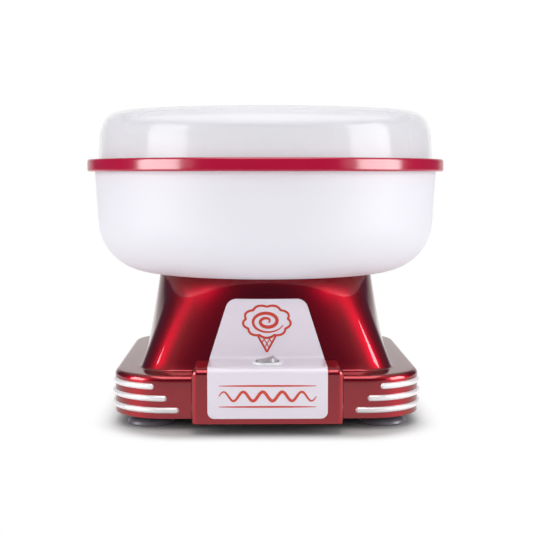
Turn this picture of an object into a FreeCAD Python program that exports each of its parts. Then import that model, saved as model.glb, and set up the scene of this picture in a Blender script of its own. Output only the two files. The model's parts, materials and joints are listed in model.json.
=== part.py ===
import FreeCAD, Part
import math
import os

# A table-top cotton candy machine: a lacquered base with a motor and a heater, a spinning sugar head,
# a white bowl that drops over the neck, a coloured rim ring and a clear splash shield.
# Millimetres, +Z up.  The origin is on the table under the spin axis, and the front faces -Y.

# ---------------------------------------------------------------- gaps and fits
SEAT_GAP = 0.3  # under a piece that lifts off its seat
LIFT_GAP = 0.5  # beside a piece that lifts off
SNUG_GAP = 0.1  # beside a piece that is fixed in its place
RUNNING_GAP = 0.04  # radial, a turning shaft in its bush
PUSH_GAP = 0.06  # radial, the head's bore on the shaft
CUT_MARGIN = 1.0  # how far a cutting shape runs past what it cuts
TOUCH = 1e-3  # two edges this near lie at the same place
QUARTER_TURN = 90.0  # degrees

# ---------------------------------------------------------------- housing
HOUSING_WALL = 2.5
PLINTH_BOTTOM = 8.3
PLINTH_HALF_WIDTH = 116.0
PLINTH_CORNER = 42.0
DECK_TOP = 40.0
DECK_EDGE_ROUND = 4.0
DECK_WIDTH = 19.0  # from the plinth's wall in to the tower's foot
TOWER_FOOT_CORNER = 28.0
TOWER_TAPER = 10.5  # how much smaller the top's radius is than the foot's half width
TOWER_TOP = 109.0
CONSOLE_INSET = 19.0  # from the end of the plinth's corner round in to the console's side
CONSOLE_REACH = 19.0  # forward of the plinth's wall
CONSOLE_RISE = 8.0  # above the deck
CONSOLE_CORNER = 5.0
CONSOLE_EDGE_ROUND = 4.0
VENT_COUNT = 5
VENT_LENGTH = 46.0
VENT_HEIGHT = 3.0
VENT_PITCH = 7.0
VENT_RISE = 16.0  # the lowest slot above the deck

# ---------------------------------------------------------------- fascia panel and corner trims
PANEL_THICKNESS = 1.6
PANEL_SIDE_MARGIN = 11.8  # inside the console's sides
PANEL_TAPER = 14.2  # how much narrower each half is at the top
PANEL_BOTTOM_MARGIN = 4.2
PANEL_TOP_MARGIN = 15.0
PANEL_BOTTOM_CORNER = 5.0
PANEL_TOP_CORNER = 6.0
TRIM_HEIGHT = 4.4
TRIM_PROUD = 2.0
TRIM_EDGE_ROUND = 1.9
TRIM_ROWS = {"upper": (23.7, 28.3), "middle": (15.0, 18.7), "lower": (6.2, 9.7)}
# each row's height above the plinth's bottom, and how far its front end stops from the console

# ---------------------------------------------------------------- bottom plate and feet
BOTTOM_PLATE_RECESS = 0.7
BOTTOM_PLATE_THICKNESS = 2.5
BOTTOM_VENT_COUNT = 14
BOTTOM_VENT_WIDTH = 3.0
BOTTOM_VENT_INNER_RADIUS = 16.0
BOTTOM_VENT_OUTER_RADIUS = 36.0
FOOT_INSET = 28.0  # from the plinth's walls in to a foot's centre
FOOT_RADIUS = 17.5
FOOT_LIP_WIDTH = 2.2
FOOT_LIP_THICKNESS = 1.2
FOOT_CUP_DEPTH = 2.8
FOOT_NECK_RADIUS = 8.0
FOOT_NECK_HEIGHT = 3.0
FOOT_STEM_RADIUS = 4.0
FOOT_BARB_RADIUS = 5.4
FOOT_BARB_TIP_RADIUS = 2.0
FOOT_BARB_HEIGHT = 3.0

# ---------------------------------------------------------------- screws
SCREW_RADIUS = 1.5
SCREW_HEAD_RADIUS = 3.2
SCREW_HEAD_HEIGHT = 2.0
SCREW_HEAD_ROUND = 0.7
SCREW_DRIVE_LENGTH = 3.8
SCREW_DRIVE_WIDTH = 0.9
SCREW_DRIVE_DEPTH = 0.8
SCREW_BITE = 9.0  # how far a screw reaches into its boss
BOSS_RADIUS = 4.5
BOTTOM_BOSS_ACROSS = 34.0  # the bottom bosses' distance from the machine's middle plane

# ---------------------------------------------------------------- rocker switch
SWITCH_FROM_FRONT = 18.0
SWITCH_BEZEL_RADIUS = 11.5
SWITCH_BEZEL_HEIGHT = 1.8
SWITCH_BODY_RADIUS = 9.9
SWITCH_BODY_DEPTH = 18.0
SWITCH_WELL_RADIUS = 8.8
SWITCH_WELL_DEPTH = 8.0
ROCKER_RADIUS = 7.9
ROCKER_PIVOT_BELOW_BEZEL = 2.8
ROCKER_TILT = 14.0  # degrees, each way from level
ROCKER_RIDGE_OFFSET = 5.6
ROCKER_RIDGE_HEIGHT = 4.7
ROCKER_MIDDLE_HEIGHT = 3.9
ROCKER_SIDE_HEIGHT = 2.6
ROCKER_UNDERSIDE = 2.3
ROCKER_PIN_RADIUS = 1.2
TAB_WIDTH = 4.8
TAB_THICKNESS = 0.8
TAB_LENGTH = 8.0
TAB_SPACING = 8.0

# ---------------------------------------------------------------- neck, heater and its carriers
NECK_RADIUS = 53.0
NECK_BORE_RADIUS = 45.4
NECK_HEIGHT = 13.0
NECK_SPIGOT_RADIUS = 46.9
NECK_SPIGOT_DEPTH = 5.0
NECK_KEY_COUNT = 3
NECK_KEY_WIDTH = 8.0
NECK_KEY_PROUD = 1.6
NECK_KEY_HEIGHT = 8.0
PAN_WALL = 0.8
PAN_DEPTH = 15.0
PAN_FLANGE_RADIUS = 52.4
PAN_SCREW_CIRCLE = 49.2
PAN_SCREW_COUNT = 3
SHAFT_HOLE_RADIUS = 7.0
INSULATOR_RADIUS = 41.0
INSULATOR_THICKNESS = 4.0
COIL_CIRCLE = 31.0
COIL_RADIUS = 2.2
COIL_GROOVE_DEPTH = 1.2
COIL_GAP_DEGREES = 24.0
COIL_LEAD_LENGTH = 14.7
THERMOSTAT_RADIUS = 8.0
THERMOSTAT_HEIGHT = 5.0
THERMOSTAT_OFFSET = 26.0
THERMOSTAT_TAB_OUT = 4.0
THERMOSTAT_TAB_LENGTH = 4.0
FUSE_RADIUS = 2.0
FUSE_LENGTH = 12.0
FUSE_OFFSET = 24.0
CLIP_THICKNESS = 0.6
CLIP_WIDTH = 5.0

# ---------------------------------------------------------------- motor
BRACKET_THICKNESS = 2.0
BRACKET_RADIUS = 68.0
BRACKET_BOSS_CIRCLE = 60.0
BRACKET_BOSS_LENGTH = 12.5
BRACKET_BOSS_COUNT = 4
GROMMET_RADIUS = 6.0
GROMMET_THICKNESS = 1.5
MOTOR_RADIUS = 30.0
MOTOR_CAN_WALL = 1.5
MOTOR_CAN_LENGTH = 40.0
MOTOR_SCREW_CIRCLE = 22.0
MOTOR_SCREW_LENGTH = 4.0
END_CAP_LENGTH = 11.0
END_CAP_WALL = 2.5
BUSH_RADIUS = 6.0
BUSH_LENGTH = 5.0
MAGNET_THICKNESS = 5.0
MAGNET_LENGTH = 30.0
MAGNET_SPAN_DEGREES = 130.0
ARMATURE_GAP = 0.7
ARMATURE_LENGTH = 27.0
ARMATURE_SLOT_COUNT = 12
ARMATURE_SLOT_WIDTH = 2.4
ARMATURE_SLOT_DEPTH = 7.0
WINDING_RADIUS = 17.0
WINDING_HEIGHT = 3.5
COMMUTATOR_RADIUS = 7.5
COMMUTATOR_LENGTH = 5.0
BRUSH_SIZE = 4.0
BRUSH_LENGTH = 11.0
BRUSH_GAP = 0.05
GUIDE_WALL = 1.2
SHAFT_RADIUS = 3.5
SHAFT_BELOW_MOTOR = 16.0
FAN_RADIUS = 30.0
FAN_HUB_RADIUS = 7.0
FAN_HEIGHT = 10.0
FAN_PLATE = 1.5
FAN_BLADE_COUNT = 9
FAN_BLADE_THICKNESS = 1.4
FAN_BLADE_LEAN = 35.0  # degrees from the radius
FAN_CLEARANCE = 3.0

# ---------------------------------------------------------------- sugar head
HEAD_CLEARANCE = 2.5  # above the screws of the heater pan
HEAD_RADIUS = 40.0
HEAD_HEIGHT = 29.0
HEAD_SHEET = 1.2
HEAD_HUB_RADIUS = 7.0
HEAD_HUB_HEIGHT = 13.0
HEAD_SKIRT_HEIGHT = 7.0
SCREEN_THICKNESS = 0.8
SCREEN_SLOT_COUNT = 36
SCREEN_SLOT_WIDTH = 1.6
FUNNEL_TOP_RADIUS = 24.0
FUNNEL_BOTTOM_RADIUS = 14.0
FUNNEL_DEPTH = 9.0
HEAD_SCREW_CIRCLE = 31.0
HEAD_SCREW_COUNT = 3
HEAD_POST_RADIUS = 3.2
PIN_RADIUS = 1.25
PIN_LENGTH = 12.0
PIN_SLOT_GAP = 0.2

# ---------------------------------------------------------------- bowl, rim ring and splash shield
BOWL_WALL = 2.8
BOWL_DEPTH = 82.5
BOWL_DRAFT = 3.4  # degrees
BOWL_CORNER = 42.0
BOWL_COLLAR_HEIGHT = 18.0
RING_RADIUS = 145.0
RING_OVERHANG = 6.0  # outside the bowl's rim
RING_BAND = 8.3  # from the outside in to the recess that holds the shield
RING_WIDTH = 13.0
RING_SKIRT = 2.1
RING_HEIGHT = 9.8
RING_EDGE_ROUND = 1.5
RING_LEDGE_THICKNESS = 2.2
SHIELD_WALL = 2.0
SHIELD_HEIGHT = 42.7
SHIELD_LEAN = 1.3  # how far the skirt leans in up to the shoulder
SHIELD_ROUND_WIDTH = 13.9
SHIELD_ROUND_HEIGHT = 22.0
SHIELD_LIP_RADIUS = 4.2
SHIELD_LIP_DROP = 2.0

# ---------------------------------------------------------------- electrical pieces under the deck
BOARD_LENGTH = 52.0
BOARD_WIDTH = 32.0
BOARD_THICKNESS = 1.6
BOARD_STANDOFF = 6.0
BOARD_POST_RADIUS = 3.5
BOARD_FROM_WALL = 43.5
BOARD_SCREW_INSET = 4.5
DIODE_RADIUS = 2.7
DIODE_LENGTH = 9.0
DIODE_COUNT = 4
DIODE_PITCH = 8.0
CAPACITOR_RADIUS = 5.0
CAPACITOR_HEIGHT = 12.0
TERMINAL_LENGTH = 30.0
TERMINAL_WIDTH = 16.0
TERMINAL_HEIGHT = 12.0
TERMINAL_FROM_WALL = 47.5
TERMINAL_WAYS = 3
TERMINAL_SCREW_RADIUS = 2.4
GLAND_BORE_RADIUS = 3.5
GLAND_RADIUS = 6.5
GLAND_FLANGE_RADIUS = 9.0
GLAND_FLANGE_THICKNESS = 2.5
GLAND_NUT_THICKNESS = 4.0
GLAND_TAIL = 5.0
GLAND_HEIGHT = 24.0
LEAD_RADIUS = 1.2
LEAD_BEND = 6.0
LEAD_HOLE_RADIUS = 3.0
LEAD_RISER_OUT = 46.0  # from the axis to the lead that climbs beside the motor
MOTOR_LEAD_ACROSS = 9.0

# ---------------------------------------------------------------- places that follow from the sizes above
PLATE_BOTTOM = PLINTH_BOTTOM + BOTTOM_PLATE_RECESS
PLATE_TOP = PLATE_BOTTOM + BOTTOM_PLATE_THICKNESS
DECK_UNDERSIDE = DECK_TOP - HOUSING_WALL
PLINTH_INNER = PLINTH_HALF_WIDTH - HOUSING_WALL
TOWER_FOOT_HALF_WIDTH = PLINTH_HALF_WIDTH - DECK_WIDTH
TOWER_TOP_RADIUS = TOWER_FOOT_HALF_WIDTH - TOWER_TAPER
CEILING = TOWER_TOP - HOUSING_WALL
CONSOLE_HALF_WIDTH = PLINTH_HALF_WIDTH - PLINTH_CORNER - CONSOLE_INSET
CONSOLE_FRONT = PLINTH_HALF_WIDTH + CONSOLE_REACH
CONSOLE_TOP = DECK_TOP + CONSOLE_RISE
BOTTOM_BOSS_OUT = (TOWER_FOOT_HALF_WIDTH - HOUSING_WALL + PLINTH_INNER) / 2
PANEL_HALF_WIDTH = CONSOLE_HALF_WIDTH - PANEL_SIDE_MARGIN
PANEL_TOP_HALF_WIDTH = PANEL_HALF_WIDTH - PANEL_TAPER
PANEL_BOTTOM = PLINTH_BOTTOM + PANEL_BOTTOM_MARGIN
PANEL_TOP = TOWER_TOP - PANEL_TOP_MARGIN
PANEL_LEDGE = CONSOLE_TOP + PANEL_THICKNESS
FOOT_OFFSET = PLINTH_HALF_WIDTH - FOOT_INSET
SWITCH_Y = -(CONSOLE_FRONT - SWITCH_FROM_FRONT)
BEZEL_TOP = PANEL_LEDGE + SWITCH_BEZEL_HEIGHT
PIVOT_HEIGHT = BEZEL_TOP - ROCKER_PIVOT_BELOW_BEZEL
SWITCH_BODY_BOTTOM = PANEL_LEDGE - SWITCH_BODY_DEPTH
NECK_TOP = TOWER_TOP + NECK_HEIGHT
PAN_TOP = NECK_TOP + PAN_WALL
PAN_FLOOR = PAN_TOP - PAN_DEPTH
PAN_UNDERSIDE = PAN_FLOOR - PAN_WALL
PAN_RADIUS = NECK_BORE_RADIUS - SNUG_GAP
THERMOSTAT_TAB_LOW = PAN_UNDERSIDE - THERMOSTAT_HEIGHT - THERMOSTAT_TAB_LENGTH
INSULATOR_TOP = PAN_FLOOR + INSULATOR_THICKNESS
COIL_HEIGHT = INSULATOR_TOP - COIL_GROOVE_DEPTH + COIL_RADIUS + SNUG_GAP
BRACKET_TOP = CEILING - BRACKET_BOSS_LENGTH - GROMMET_THICKNESS
BRACKET_BOTTOM = BRACKET_TOP - BRACKET_THICKNESS
CAN_BOTTOM = BRACKET_BOTTOM - MOTOR_CAN_LENGTH
CAP_BOTTOM = CAN_BOTTOM - END_CAP_LENGTH
CAN_INNER = MOTOR_RADIUS - MOTOR_CAN_WALL
CAN_CEILING = BRACKET_BOTTOM - MOTOR_CAN_WALL
MAGNET_INNER = CAN_INNER - SNUG_GAP - MAGNET_THICKNESS
ARMATURE_RADIUS = MAGNET_INNER - ARMATURE_GAP
ARMATURE_BOTTOM = (CAN_BOTTOM + CAN_CEILING - ARMATURE_LENGTH) / 2
COMMUTATOR_TOP = ARMATURE_BOTTOM - WINDING_HEIGHT
COMMUTATOR_BOTTOM = COMMUTATOR_TOP - COMMUTATOR_LENGTH
FAN_TOP = CAP_BOTTOM - FAN_CLEARANCE
SHAFT_BOTTOM = CAP_BOTTOM - SHAFT_BELOW_MOTOR
HEAD_BOTTOM = PAN_TOP + SCREW_HEAD_HEIGHT + HEAD_CLEARANCE
HEAD_TOP = HEAD_BOTTOM + HEAD_HEIGHT
HEAD_FLOOR = HEAD_BOTTOM + HEAD_SHEET
SCREEN_RADIUS = HEAD_RADIUS - HEAD_SHEET - SNUG_GAP
SCREEN_TOP = HEAD_TOP - HEAD_SHEET
SHAFT_TOP = HEAD_BOTTOM + HEAD_HUB_HEIGHT
PIN_HEIGHT = HEAD_BOTTOM + PIN_RADIUS + SNUG_GAP
BOWL_BOTTOM = TOWER_TOP + SEAT_GAP
BOWL_COLLAR_INNER = NECK_RADIUS + LIFT_GAP
BOWL_RIM_RADIUS = RING_RADIUS - RING_OVERHANG
BOWL_RIM_TOP = BOWL_BOTTOM + BOWL_DEPTH
RING_RECESS_RADIUS = RING_RADIUS - RING_BAND
RING_LEDGE_RADIUS = RING_RADIUS - RING_WIDTH
RING_BOTTOM = BOWL_RIM_TOP - RING_SKIRT
RING_TOP = RING_BOTTOM + RING_HEIGHT
RING_LEDGE_TOP = BOWL_RIM_TOP + RING_LEDGE_THICKNESS
SHIELD_FOOT = RING_LEDGE_TOP + SEAT_GAP
SHIELD_FOOT_RADIUS = RING_RECESS_RADIUS - LIFT_GAP
SHIELD_SHOULDER_RADIUS = SHIELD_FOOT_RADIUS - SHIELD_LEAN
SHIELD_CREST_RADIUS = SHIELD_SHOULDER_RADIUS - SHIELD_ROUND_WIDTH
SHIELD_TOP = SHIELD_FOOT + SHIELD_HEIGHT
SHIELD_SHOULDER_HEIGHT = SHIELD_TOP - SHIELD_ROUND_HEIGHT
GLAND_OUTSIDE = PLINTH_HALF_WIDTH + GLAND_FLANGE_THICKNESS
GLAND_INSIDE = PLINTH_INNER - GLAND_NUT_THICKNESS - GLAND_TAIL
BOARD_BOTTOM = PLATE_TOP + BOARD_STANDOFF
BOARD_TOP = BOARD_BOTTOM + BOARD_THICKNESS
BOARD_FROM_AXIS = PLINTH_INNER - BOARD_FROM_WALL
TERMINAL_FROM_AXIS = PLINTH_INNER - TERMINAL_FROM_WALL
TERMINAL_PITCH = TERMINAL_LENGTH / TERMINAL_WAYS
TERMINAL_HOLE_HEIGHT = PLATE_TOP + TERMINAL_HEIGHT / 3
TERMINAL_HOLE_RADIUS = LEAD_RADIUS + SEAT_GAP
HEATER_LEAD_HEIGHT = COIL_HEIGHT - COIL_LEAD_LENGTH - LEAD_RADIUS
UP = FreeCAD.Vector(0, 0, 1)
ALONG_Y = FreeCAD.Vector(0, 1, 0)
CENTRE = FreeCAD.Vector(0, 0, 0)


# ---------------------------------------------------------------- small helpers
def at(x, y, z):
    return FreeCAD.Vector(x, y, z)


def disc(radius, low, high, x=0, y=0):
    """An upright cylinder from the height low to the height high."""
    return Part.makeCylinder(radius, high - low, at(x, y, low), UP)


def tube(outer, inner, low, high, x=0, y=0):
    """An upright tube."""
    return disc(outer, low, high, x, y).cut(disc(inner, low - CUT_MARGIN, high + CUT_MARGIN, x, y))


def rod(radius, start, end):
    """A cylinder between two points."""
    return Part.makeCylinder(radius, (end - start).Length, start, end - start)


def block(x, y, z):
    """A box from three (low, high) pairs."""
    return Part.makeBox(x[1] - x[0], y[1] - y[0], z[1] - z[0], at(x[0], y[0], z[0]))


def turned(shape, degrees):
    """A copy of shape, turned about the spin axis."""
    copy = shape.copy()
    copy.rotate(CENTRE, UP, degrees)
    return copy


def ring_of(shape, count, first=0.0):
    """count copies of shape, evenly spaced about the spin axis."""
    return [turned(shape, first + 360.0 * i / count) for i in range(count)]


def joined(shapes):
    """Shapes fused into one, with the seams between them cleaned away."""
    return shapes[0].fuse(shapes[1:]).removeSplitter()


def on_circle(radius, degrees):
    """The x and y of a point on a circle about the spin axis."""
    return radius * math.cos(math.radians(degrees)), radius * math.sin(math.radians(degrees))


def spun(start, *steps):
    """A solid of revolution.  A step is (radius, height), or (middle point, end point) of an arc."""
    place = [at(start[0], 0, start[1])]
    edges = []
    for step in steps + (start,):
        curved = isinstance(step[0], tuple)
        end = step[1] if curved else step
        target = at(end[0], 0, end[1])
        if curved:
            middle = at(step[0][0], 0, step[0][1])
            edges.append(Part.Arc(place[-1], middle, target).toShape())
        elif (target - place[-1]).Length > 0:
            edges.append(Part.makeLine(place[-1], target))
        place.append(target)
    return Part.Face(Part.Wire(edges)).revolve(CENTRE, UP, 360)


def square_edges(half, corner, z):
    """The eight edges of a rounded square: a side and then a corner, four times."""
    edges = []
    run = half - corner
    diagonal = run + corner * math.sqrt(0.5)
    for quarter_turn in range(4):
        side = Part.makeLine(at(half, -run, z), at(half, run, z))
        bend = Part.Arc(at(half, run, z), at(diagonal, diagonal, z), at(run, half, z)).toShape()
        edges += [turned(side, QUARTER_TURN * quarter_turn), turned(bend, QUARTER_TURN * quarter_turn)]
    return edges


def circle_edges(radius, side_span, z):
    """A circle in eight arcs that answer to a rounded square's sides and corners."""
    edges = []
    for quarter_turn in range(4):
        for first, last in ((-side_span / 2, side_span / 2), (side_span / 2, QUARTER_TURN - side_span / 2)):
            points = [at(*on_circle(radius, turn), z) for turn in (first, (first + last) / 2, last)]
            edges.append(turned(Part.Arc(*points).toShape(), QUARTER_TURN * quarter_turn))
    return edges


def rounded_slab(half, corner, low, high):
    """A rounded square plate."""
    face = Part.Face(Part.Wire(square_edges(half, corner, low)))
    return face.extrude(at(0, 0, high - low))


def edges_at(shape, height):
    """The edges of shape that lie flat at one height."""
    return [e for e in shape.Edges
            if abs(e.BoundBox.ZMin - height) < TOUCH and abs(e.BoundBox.ZMax - height) < TOUCH]


def upright_edges_at(shape, y):
    """The upright edges of shape that stand at one y."""
    return [e for e in shape.Edges if abs(e.BoundBox.YMax - y) < TOUCH and e.BoundBox.ZLength > TOUCH]


def screw(x, y, face, length, downwards=True):
    """A pan-head screw with a cross recess, its head on the height face and its shank of that length."""
    head = disc(SCREW_HEAD_RADIUS, 0, SCREW_HEAD_HEIGHT)
    head = head.makeFillet(SCREW_HEAD_ROUND, edges_at(head, SCREW_HEAD_HEIGHT))
    arm = (-SCREW_DRIVE_LENGTH / 2, SCREW_DRIVE_LENGTH / 2)
    slit = (-SCREW_DRIVE_WIDTH / 2, SCREW_DRIVE_WIDTH / 2)
    deep = (SCREW_HEAD_HEIGHT - SCREW_DRIVE_DEPTH, SCREW_HEAD_HEIGHT + CUT_MARGIN)
    body = head.cut([block(arm, slit, deep), block(slit, arm, deep)]).fuse(disc(SCREW_RADIUS, -length, 0))
    if not downwards:
        body.rotate(CENTRE, at(1, 0, 0), 180)
    body.translate(at(x, y, face))
    return body


def screw_hole(x, y, low, high):
    """The hole that a screw's shank passes through or bites into."""
    return disc(SCREW_RADIUS + SNUG_GAP, low, high, x, y)


# ---------------------------------------------------------------- housing, panel and trims
def tower_form(inset):
    """The rounded square foot of the tower drawn up into its round top."""
    half = TOWER_FOOT_HALF_WIDTH - inset
    corner = TOWER_FOOT_CORNER - inset
    side_length = 2 * (half - corner)
    corner_length = corner * math.pi / 2
    side_span = QUARTER_TURN * side_length / (side_length + corner_length)
    foot = Part.Wire(square_edges(half, corner, DECK_TOP - inset))
    top = Part.Wire(circle_edges(TOWER_TOP_RADIUS - inset, side_span, TOWER_TOP - inset))
    return Part.makeLoft([foot, top], True, True)


def console_form(inset, bottom):
    """The block in front of the plinth that carries the panel and the switch."""
    half = CONSOLE_HALF_WIDTH - inset
    front = -(CONSOLE_FRONT - inset)
    top = CONSOLE_TOP - inset
    form = block((-half, half), (front, -(TOWER_FOOT_HALF_WIDTH - PLINTH_CORNER)), (bottom, top))
    form = form.makeFillet(CONSOLE_CORNER - inset, upright_edges_at(form, front))
    rim = [e for e in edges_at(form, top) if e.BoundBox.YMin < -TOWER_FOOT_HALF_WIDTH]
    return form.makeFillet(CONSOLE_EDGE_ROUND - inset, rim)


def housing_form(inset, bottom):
    """The outside of the housing as a solid, taken in by inset all round, or grown by a negative inset."""
    top = DECK_TOP - inset
    plinth = rounded_slab(PLINTH_HALF_WIDTH - inset, PLINTH_CORNER - inset, bottom, top)
    plinth = plinth.makeFillet(DECK_EDGE_ROUND - inset, edges_at(plinth, top))
    return joined([plinth, tower_form(inset), console_form(inset, bottom)])


def bottom_boss_places():
    out, across = BOTTOM_BOSS_OUT, BOTTOM_BOSS_ACROSS
    return [(-out, -across), (-out, across), (out, -across), (out, across)]


def bracket_boss_places():
    step = 360.0 / BRACKET_BOSS_COUNT
    return [on_circle(BRACKET_BOSS_CIRCLE, step * (i + 0.5)) for i in range(BRACKET_BOSS_COUNT)]


def vent_slots():
    """Air slots in the tower's back."""
    slots = []
    for i in range(VENT_COUNT):
        height = DECK_TOP + VENT_RISE + VENT_PITCH * i
        straight = VENT_LENGTH / 2 - VENT_HEIGHT / 2
        low, high = height - VENT_HEIGHT / 2, height + VENT_HEIGHT / 2
        reach = (MOTOR_RADIUS + BOSS_RADIUS, PLINTH_HALF_WIDTH)
        ends = [rod(VENT_HEIGHT / 2, at(x, reach[0], height), at(x, reach[1], height))
                for x in (-straight, straight)]
        slots.append(block((-straight, straight), reach, (low, high)).fuse(ends))
    return slots


def switch_hole(low, high):
    """The round cut-out that the switch body is pushed into, through a wall from low to high."""
    return disc(SWITCH_BODY_RADIUS + SNUG_GAP, low - CUT_MARGIN, high + CUT_MARGIN, 0, SWITCH_Y)


def base_housing():
    """The lacquered shell: plinth, tower and console, open below, with its screw bosses."""
    shell = housing_form(0, PLINTH_BOTTOM).cut(housing_form(HOUSING_WALL, PLINTH_BOTTOM - CUT_MARGIN))
    bosses = [disc(BOSS_RADIUS, PLATE_TOP, DECK_UNDERSIDE + SNUG_GAP, x, y)
              for x, y in bottom_boss_places()]
    boss_foot = CEILING - BRACKET_BOSS_LENGTH
    bosses += [disc(BOSS_RADIUS, boss_foot, CEILING + SNUG_GAP, x, y)
               for x, y in bracket_boss_places()]
    holes = [screw_hole(x, y, PLATE_TOP - CUT_MARGIN, PLATE_TOP + SCREW_BITE + CUT_MARGIN)
             for x, y in bottom_boss_places()]
    holes += [screw_hole(x, y, boss_foot - CUT_MARGIN, boss_foot + SCREW_BITE)
              for x, y in bracket_boss_places()]
    holes.append(disc(NECK_SPIGOT_RADIUS + SNUG_GAP, CEILING - CUT_MARGIN, TOWER_TOP + CUT_MARGIN))
    holes.append(switch_hole(CONSOLE_TOP - HOUSING_WALL, CONSOLE_TOP))
    holes.append(rod(GLAND_RADIUS + SNUG_GAP, at(0, PLINTH_INNER - CUT_MARGIN, GLAND_HEIGHT),
                     at(0, PLINTH_HALF_WIDTH + CUT_MARGIN, GLAND_HEIGHT)))
    return shell.fuse(bosses).cut(holes + vent_slots()).removeSplitter()


def panel_outline():
    """The panel's outline seen from the front, as a prism that runs back to the spin axis."""
    front = -(CONSOLE_FRONT + PANEL_THICKNESS + CUT_MARGIN)
    corners = [(-PANEL_HALF_WIDTH, PANEL_BOTTOM), (PANEL_HALF_WIDTH, PANEL_BOTTOM),
               (PANEL_HALF_WIDTH, PANEL_LEDGE), (PANEL_TOP_HALF_WIDTH, PANEL_TOP),
               (-PANEL_TOP_HALF_WIDTH, PANEL_TOP), (-PANEL_HALF_WIDTH, PANEL_LEDGE)]
    points = [at(x, front, z) for x, z in corners]
    prism = Part.Face(Part.makePolygon(points + points[:1])).extrude(at(0, -front, 0))
    for height, radius in ((PANEL_BOTTOM, PANEL_BOTTOM_CORNER), (PANEL_TOP, PANEL_TOP_CORNER)):
        ends = [e for e in edges_at(prism, height) if e.BoundBox.XLength < TOUCH]
        prism = prism.makeFillet(radius, ends)
    return prism


def fascia_panel():
    """The pale panel, bent over the console's top and up the tower's front."""
    skin = housing_form(-PANEL_THICKNESS, PLINTH_BOTTOM).cut(housing_form(0, PLINTH_BOTTOM))
    return skin.common(panel_outline()).cut(switch_hole(CONSOLE_TOP, PANEL_LEDGE))


def trim_band(height):
    """A half-round rail all round the plinth."""
    low, high = height - TRIM_HEIGHT / 2, height + TRIM_HEIGHT / 2
    rail = rounded_slab(PLINTH_HALF_WIDTH + TRIM_PROUD, PLINTH_CORNER + TRIM_PROUD, low, high)
    rail = rail.makeFillet(TRIM_EDGE_ROUND, edges_at(rail, low) + edges_at(rail, high))
    return rail.cut(rounded_slab(PLINTH_HALF_WIDTH, PLINTH_CORNER, low - CUT_MARGIN, high + CUT_MARGIN))


def corner_trim(side, height, end):
    """The stretch of rail round one front corner, with round ends; side is -1 for left and 1 for right."""
    far = PLINTH_HALF_WIDTH + TRIM_PROUD + CUT_MARGIN
    centre = end + TRIM_HEIGHT / 2
    span = (height - TRIM_HEIGHT / 2, height + TRIM_HEIGHT / 2)
    across = (min(side * centre, side * far), max(side * centre, side * far))
    front_cut = block(across, (-far, 0), span).fuse(
        rod(TRIM_HEIGHT / 2, at(side * centre, -far, height), at(side * centre, 0, height)))
    side_cut = block((-far, far), (-far, -centre), span).fuse(
        rod(TRIM_HEIGHT / 2, at(-far, -centre, height), at(far, -centre, height)))
    return trim_band(height).common(front_cut).common(side_cut)


# ---------------------------------------------------------------- bottom plate and feet
def foot_places():
    return {"front_left": (-FOOT_OFFSET, -FOOT_OFFSET), "front_right": (FOOT_OFFSET, -FOOT_OFFSET),
            "rear_left": (-FOOT_OFFSET, FOOT_OFFSET), "rear_right": (FOOT_OFFSET, FOOT_OFFSET)}


def board_places():
    """The four corners of the rectifier board that take its screws."""
    across = BOARD_LENGTH / 2 - BOARD_SCREW_INSET
    along = BOARD_WIDTH / 2 - BOARD_SCREW_INSET
    return [(x, BOARD_FROM_AXIS + y) for x in (-across, across) for y in (-along, along)]


def bottom_plate():
    """The plate that closes the housing from below, with air slots, foot holes and board posts."""
    inset = HOUSING_WALL + SEAT_GAP
    plate = rounded_slab(PLINTH_HALF_WIDTH - inset, PLINTH_CORNER - inset, PLATE_BOTTOM, PLATE_TOP)
    half = CONSOLE_HALF_WIDTH - inset
    front = -(CONSOLE_FRONT - inset)
    tongue = block((-half, half), (front, 0), (PLATE_BOTTOM, PLATE_TOP))
    tongue = tongue.makeFillet(CONSOLE_CORNER - HOUSING_WALL, upright_edges_at(tongue, front))
    posts = [disc(BOARD_POST_RADIUS, PLATE_TOP - SNUG_GAP, BOARD_BOTTOM, x, y) for x, y in board_places()]
    low, high = PLATE_BOTTOM - CUT_MARGIN, PLATE_TOP + CUT_MARGIN
    slot = block((BOTTOM_VENT_INNER_RADIUS, BOTTOM_VENT_OUTER_RADIUS),
                 (-BOTTOM_VENT_WIDTH / 2, BOTTOM_VENT_WIDTH / 2), (low, high))
    holes = ring_of(slot, BOTTOM_VENT_COUNT)
    holes += [disc(FOOT_STEM_RADIUS + SNUG_GAP, low, high, x, y) for x, y in foot_places().values()]
    holes += [screw_hole(x, y, low, high) for x, y in bottom_boss_places()]
    holes += [screw_hole(x, y, PLATE_TOP, BOARD_BOTTOM + CUT_MARGIN) for x, y in board_places()]
    return joined([plate, tongue] + posts).cut(holes)


def suction_foot(x, y):
    """A soft suction cup on a neck, with a barbed stem that is pulled through the bottom plate."""
    lip = FOOT_RADIUS - FOOT_LIP_WIDTH
    barb_bottom = PLATE_TOP + SNUG_GAP
    dome = (lip ** 2 + FOOT_CUP_DEPTH ** 2) / (2 * FOOT_CUP_DEPTH)  # the radius of the hollow's dome
    cup_middle = (lip / 2, math.sqrt(dome ** 2 - (lip / 2) ** 2) - dome + FOOT_CUP_DEPTH)
    foot = spun((lip, 0), (FOOT_RADIUS, 0), (FOOT_RADIUS, FOOT_LIP_THICKNESS),
                (FOOT_NECK_RADIUS, PLATE_BOTTOM - FOOT_NECK_HEIGHT), (FOOT_NECK_RADIUS, PLATE_BOTTOM),
                (FOOT_STEM_RADIUS, PLATE_BOTTOM), (FOOT_STEM_RADIUS, barb_bottom),
                (FOOT_BARB_RADIUS, barb_bottom), (FOOT_BARB_TIP_RADIUS, barb_bottom + FOOT_BARB_HEIGHT),
                (0, barb_bottom + FOOT_BARB_HEIGHT), (0, FOOT_CUP_DEPTH), (cup_middle, (lip, 0)))
    foot.translate(at(x, y, 0))
    return foot


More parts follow.
